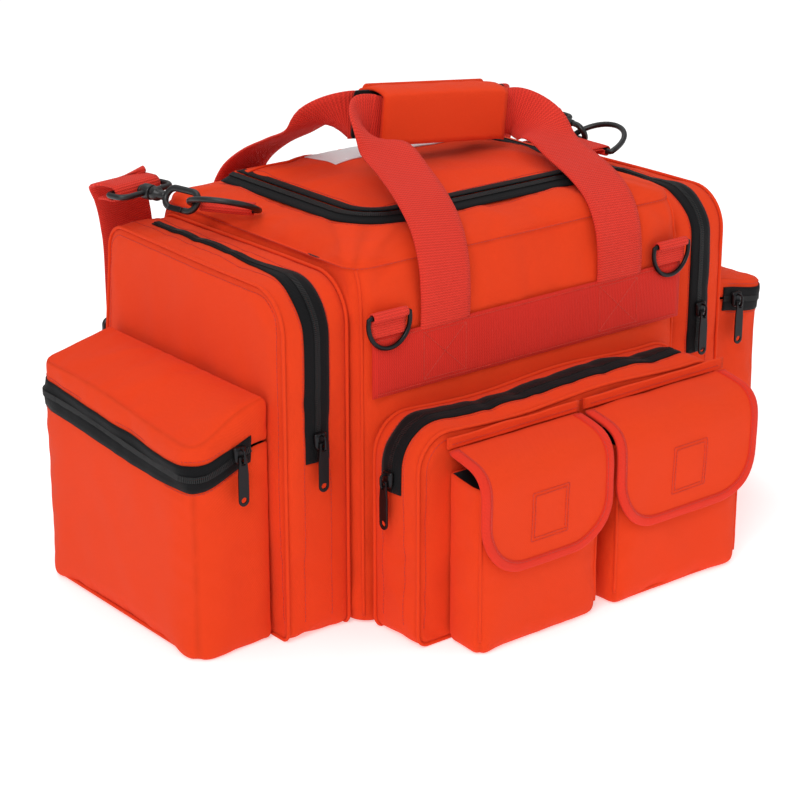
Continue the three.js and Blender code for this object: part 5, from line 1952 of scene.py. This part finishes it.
seams = {  # distance out and inset of the pockets' pipes and rows, and where the rest run
    "tallPipes": ((0.2364, 0.0014), (0.1772, 0.0002)), "tallRing": (44, 50, 6),
    "tallRows": ((0.2385, 0.0075), (0.2205, -0.001), (0.1950, -0.001)),
    "frontPipes": ((0.1993, 0.0022), (0.1478, 0.0)), "frontRing": (60, 30, 6),
    "frontRows": ((0.2010, 0.0085), (0.1845, -0.001), (0.1580, -0.001)),
    "closing": {"left": 0.1503, "right": -0.1122}, "besideZip": 0.0135, "crease": 0.2972,
    "mouth": 0.0175, "lid": -0.0125,
    "corner": 0.018, "cornerPipe": (0.008, 0.2965),
}
for label, side in sides.items():
    tree = surfaceOf(found(f"tall_pocket_cloth_{label}"))
    pipe(f"tall_piping_{label}", "bag", [(tallRing(label, x, inset, *seams["tallRing"]), True)
                                         for x, inset in seams["tallPipes"]])
    centre = Vector((side * 0.205, 0, 0.15))
    lines = []
    for x, inset in seams["tallRows"]:
        ring = tallRing(label, x, inset, *seams["tallRing"])
        points = opened([p for p in ring if p.z > 0.012])
        lines.append(sewnLine(tree, points, centre))
    points = [Vector((side * mix(0.1800, 0.2340, k / 18), seams["closing"][label],
                      tallZip["low"] - 0.0015)) for k in range(19)]
    lines.append(sewnLine(tree, points, centre))
    sew(f"tall_stitches_{label}", "bag", lines)

    x0, x1, y0, y1, radii = outerSpan(label)
    lidTree = surfaceOf(found(f"outer_lid_cloth_{label}"))
    boxTree = surfaceOf(found(f"outer_pocket_cloth_{label}"))
    foot = [Vector((a, b, 0.0042))
            for a, b in insetOutline((x0, x1, y0, y1), 0.003, radii, 0.001, 16, 40)]
    pipe(f"outer_piping_{label}", "bag", [(foot, True)])
    centre = Vector((side * 0.277, 0, 0.1))
    for offset, tree, name, body in (
            (seams["besideZip"], lidTree, "outer_lid_stitches", f"outer_lid_{label}"),
            (-seams["besideZip"], boxTree, "outer_box_stitches", "bag")):
        rim = []
        for a, b in roundOutline(x0, x1, y0, y1, radii, 16, 60):
            at = Vector((a, b, 0))
            at.z = zipHeight(at, label) + offset
            if abs(a) > 0.262:
                rim.append(at)
        sew(f"{name}_{label}", body, [sewnLine(tree, opened(rim), centre)])

tree = surfaceOf(found("front_pocket_cloth"))
centre = Vector((0, -0.17, 0.09))
pipe("front_piping", "bag", [(frontRing(y, inset, *seams["frontRing"]), True)
                             for y, inset in seams["frontPipes"]])
lines = []
for y, inset in seams["frontRows"]:
    ring = frontRing(y, inset, *seams["frontRing"])
    lines.append(sewnLine(tree, opened([p for p in ring if p.z > 0.014]), centre))
sew("front_stitches", "bag", lines)

tree = surfaceOf(found("main_shell"))
centre = Vector((0, 0, 0.15))
corners = []
for sx in (-1, 1):
    for sy in (-1, 1):
        line = []
        for row in spline([Vector(r[:3]) for r in mainBag["profile"]], 3):
            if seams["cornerPipe"][0] < row.x < seams["cornerPipe"][1]:
                r = seams["corner"] * 0.293  # a round corner's middle lies this share inside
                corner = Vector((sx * (row.y - r), sy * (row.z - r), row.x))
                line.append(tree.find_nearest(corner)[0])
        corners.append((line, False))
pipe("main_piping", "bag", corners, 0.0014)
crease = mainBag["profile"][8]
ring = [Vector((a, b, seams["crease"])) for a, b in roundOutline(
    -crease[1], crease[1], -crease[2], crease[2], crease[3], 70, 50)]
rim = [p + up * 0.318 for p, _ in mouthLine(seams["mouth"])]
sew("main_stitches", "bag", [sewnLine(tree, ring, centre, True), sewnLine(tree, rim, centre)])

lidTree = surfaceOf(found("lid_cloth"))
rim = [p + up * 0.325 for p, _ in mouthLine(seams["lid"])]
sew("lid_stitches", "lid", [sewnLine(lidTree, rim, Vector((0, 0, 0.2)))])

for label in sides:
    tree = surfaceOf(found(f"flap_pocket_cloth_{label}"))
    x0, x1 = flapPocket["spans"][label]
    f = flapPocket
    lines = []
    for x, sx in ((x0, 1), (x1, -1)):
        edge = [Vector((x + sx * 0.0035, -f["front"] + 0.0035, mix(0.012, 0.142, k / 30)))
                for k in range(31)]
        centre = Vector(((x0 + x1) / 2, -0.22, 0.07))
        lines.append((stitchesOn(tree, edge, centre, 0.0)[0], False))
    foot = [Vector((a, b, 0.0050)) for a, b in roundOutline(
        x0 + 0.0042, x1 - 0.0042, -f["front"] + 0.0042, -f["back"] - 0.004,
        [0.009, 0.009, 0.002, 0.002], 24, 6)]
    lines.append((foot, True))
    pipe(f"flap_pocket_piping_{label}", "bag", lines, 0.0013)
print("seams ready")

# a plain white cloth panel is sewn on the lid, and a soft hinge joins the lid to the bag
panel = {"x": (-0.066, 0.062), "y": (0.030, 0.074), "cells": (36, 16), "lift": 0.0006,
         "thickness": 0.0008}
hinge = {"x": (-0.1235, 0.1235), "y": (0.080, 0.106), "cells": (40, 14), "lift": 0.0010,
         "thickness": 0.0016, "z": 0.3212, "gap": 0.092}


def laidPanel(name, finish, s, tree, height):
    rows = []
    across, along = s["cells"]
    for j in range(along + 1):
        y = mix(*s["y"], j / along)
        row = []
        for i in range(across + 1):
            x = mix(*s["x"], i / across)
            hit = tree.ray_cast(Vector((x, y, 0.36)), Vector((0, 0, -1)), 0.05)[0]
            row.append(Vector((x, y, height(y, hit) + s["lift"])))
        rows.append(row)
    skin = Skin()
    skin.grid(rows, [[(p.x, p.y) for p in row] for row in rows])
    return thickened(skin.finish(name, finish), s["thickness"], None, 0)


def hingeHeight(y, hit):  # level over the gap between lid and bag
    z = hit.z if hit else hinge["z"]
    return max(z, hinge["z"] - 0.001) if abs(y - hinge["gap"]) < 0.004 else z


settle(laidPanel("lid_panel_patch", "patch", panel, lidTree, lambda y, hit: hit.z), "lid")
tree = surfaceOf(found("main_shell"), found("lid_cloth"))
piece = laidPanel("lid_hinge_cloth", "cloth", hinge, tree, hingeHeight)
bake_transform(piece)

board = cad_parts["base_board"]
for holder in board.material_slots:
    holder.material = finishes["board"]
print("pieces ready")
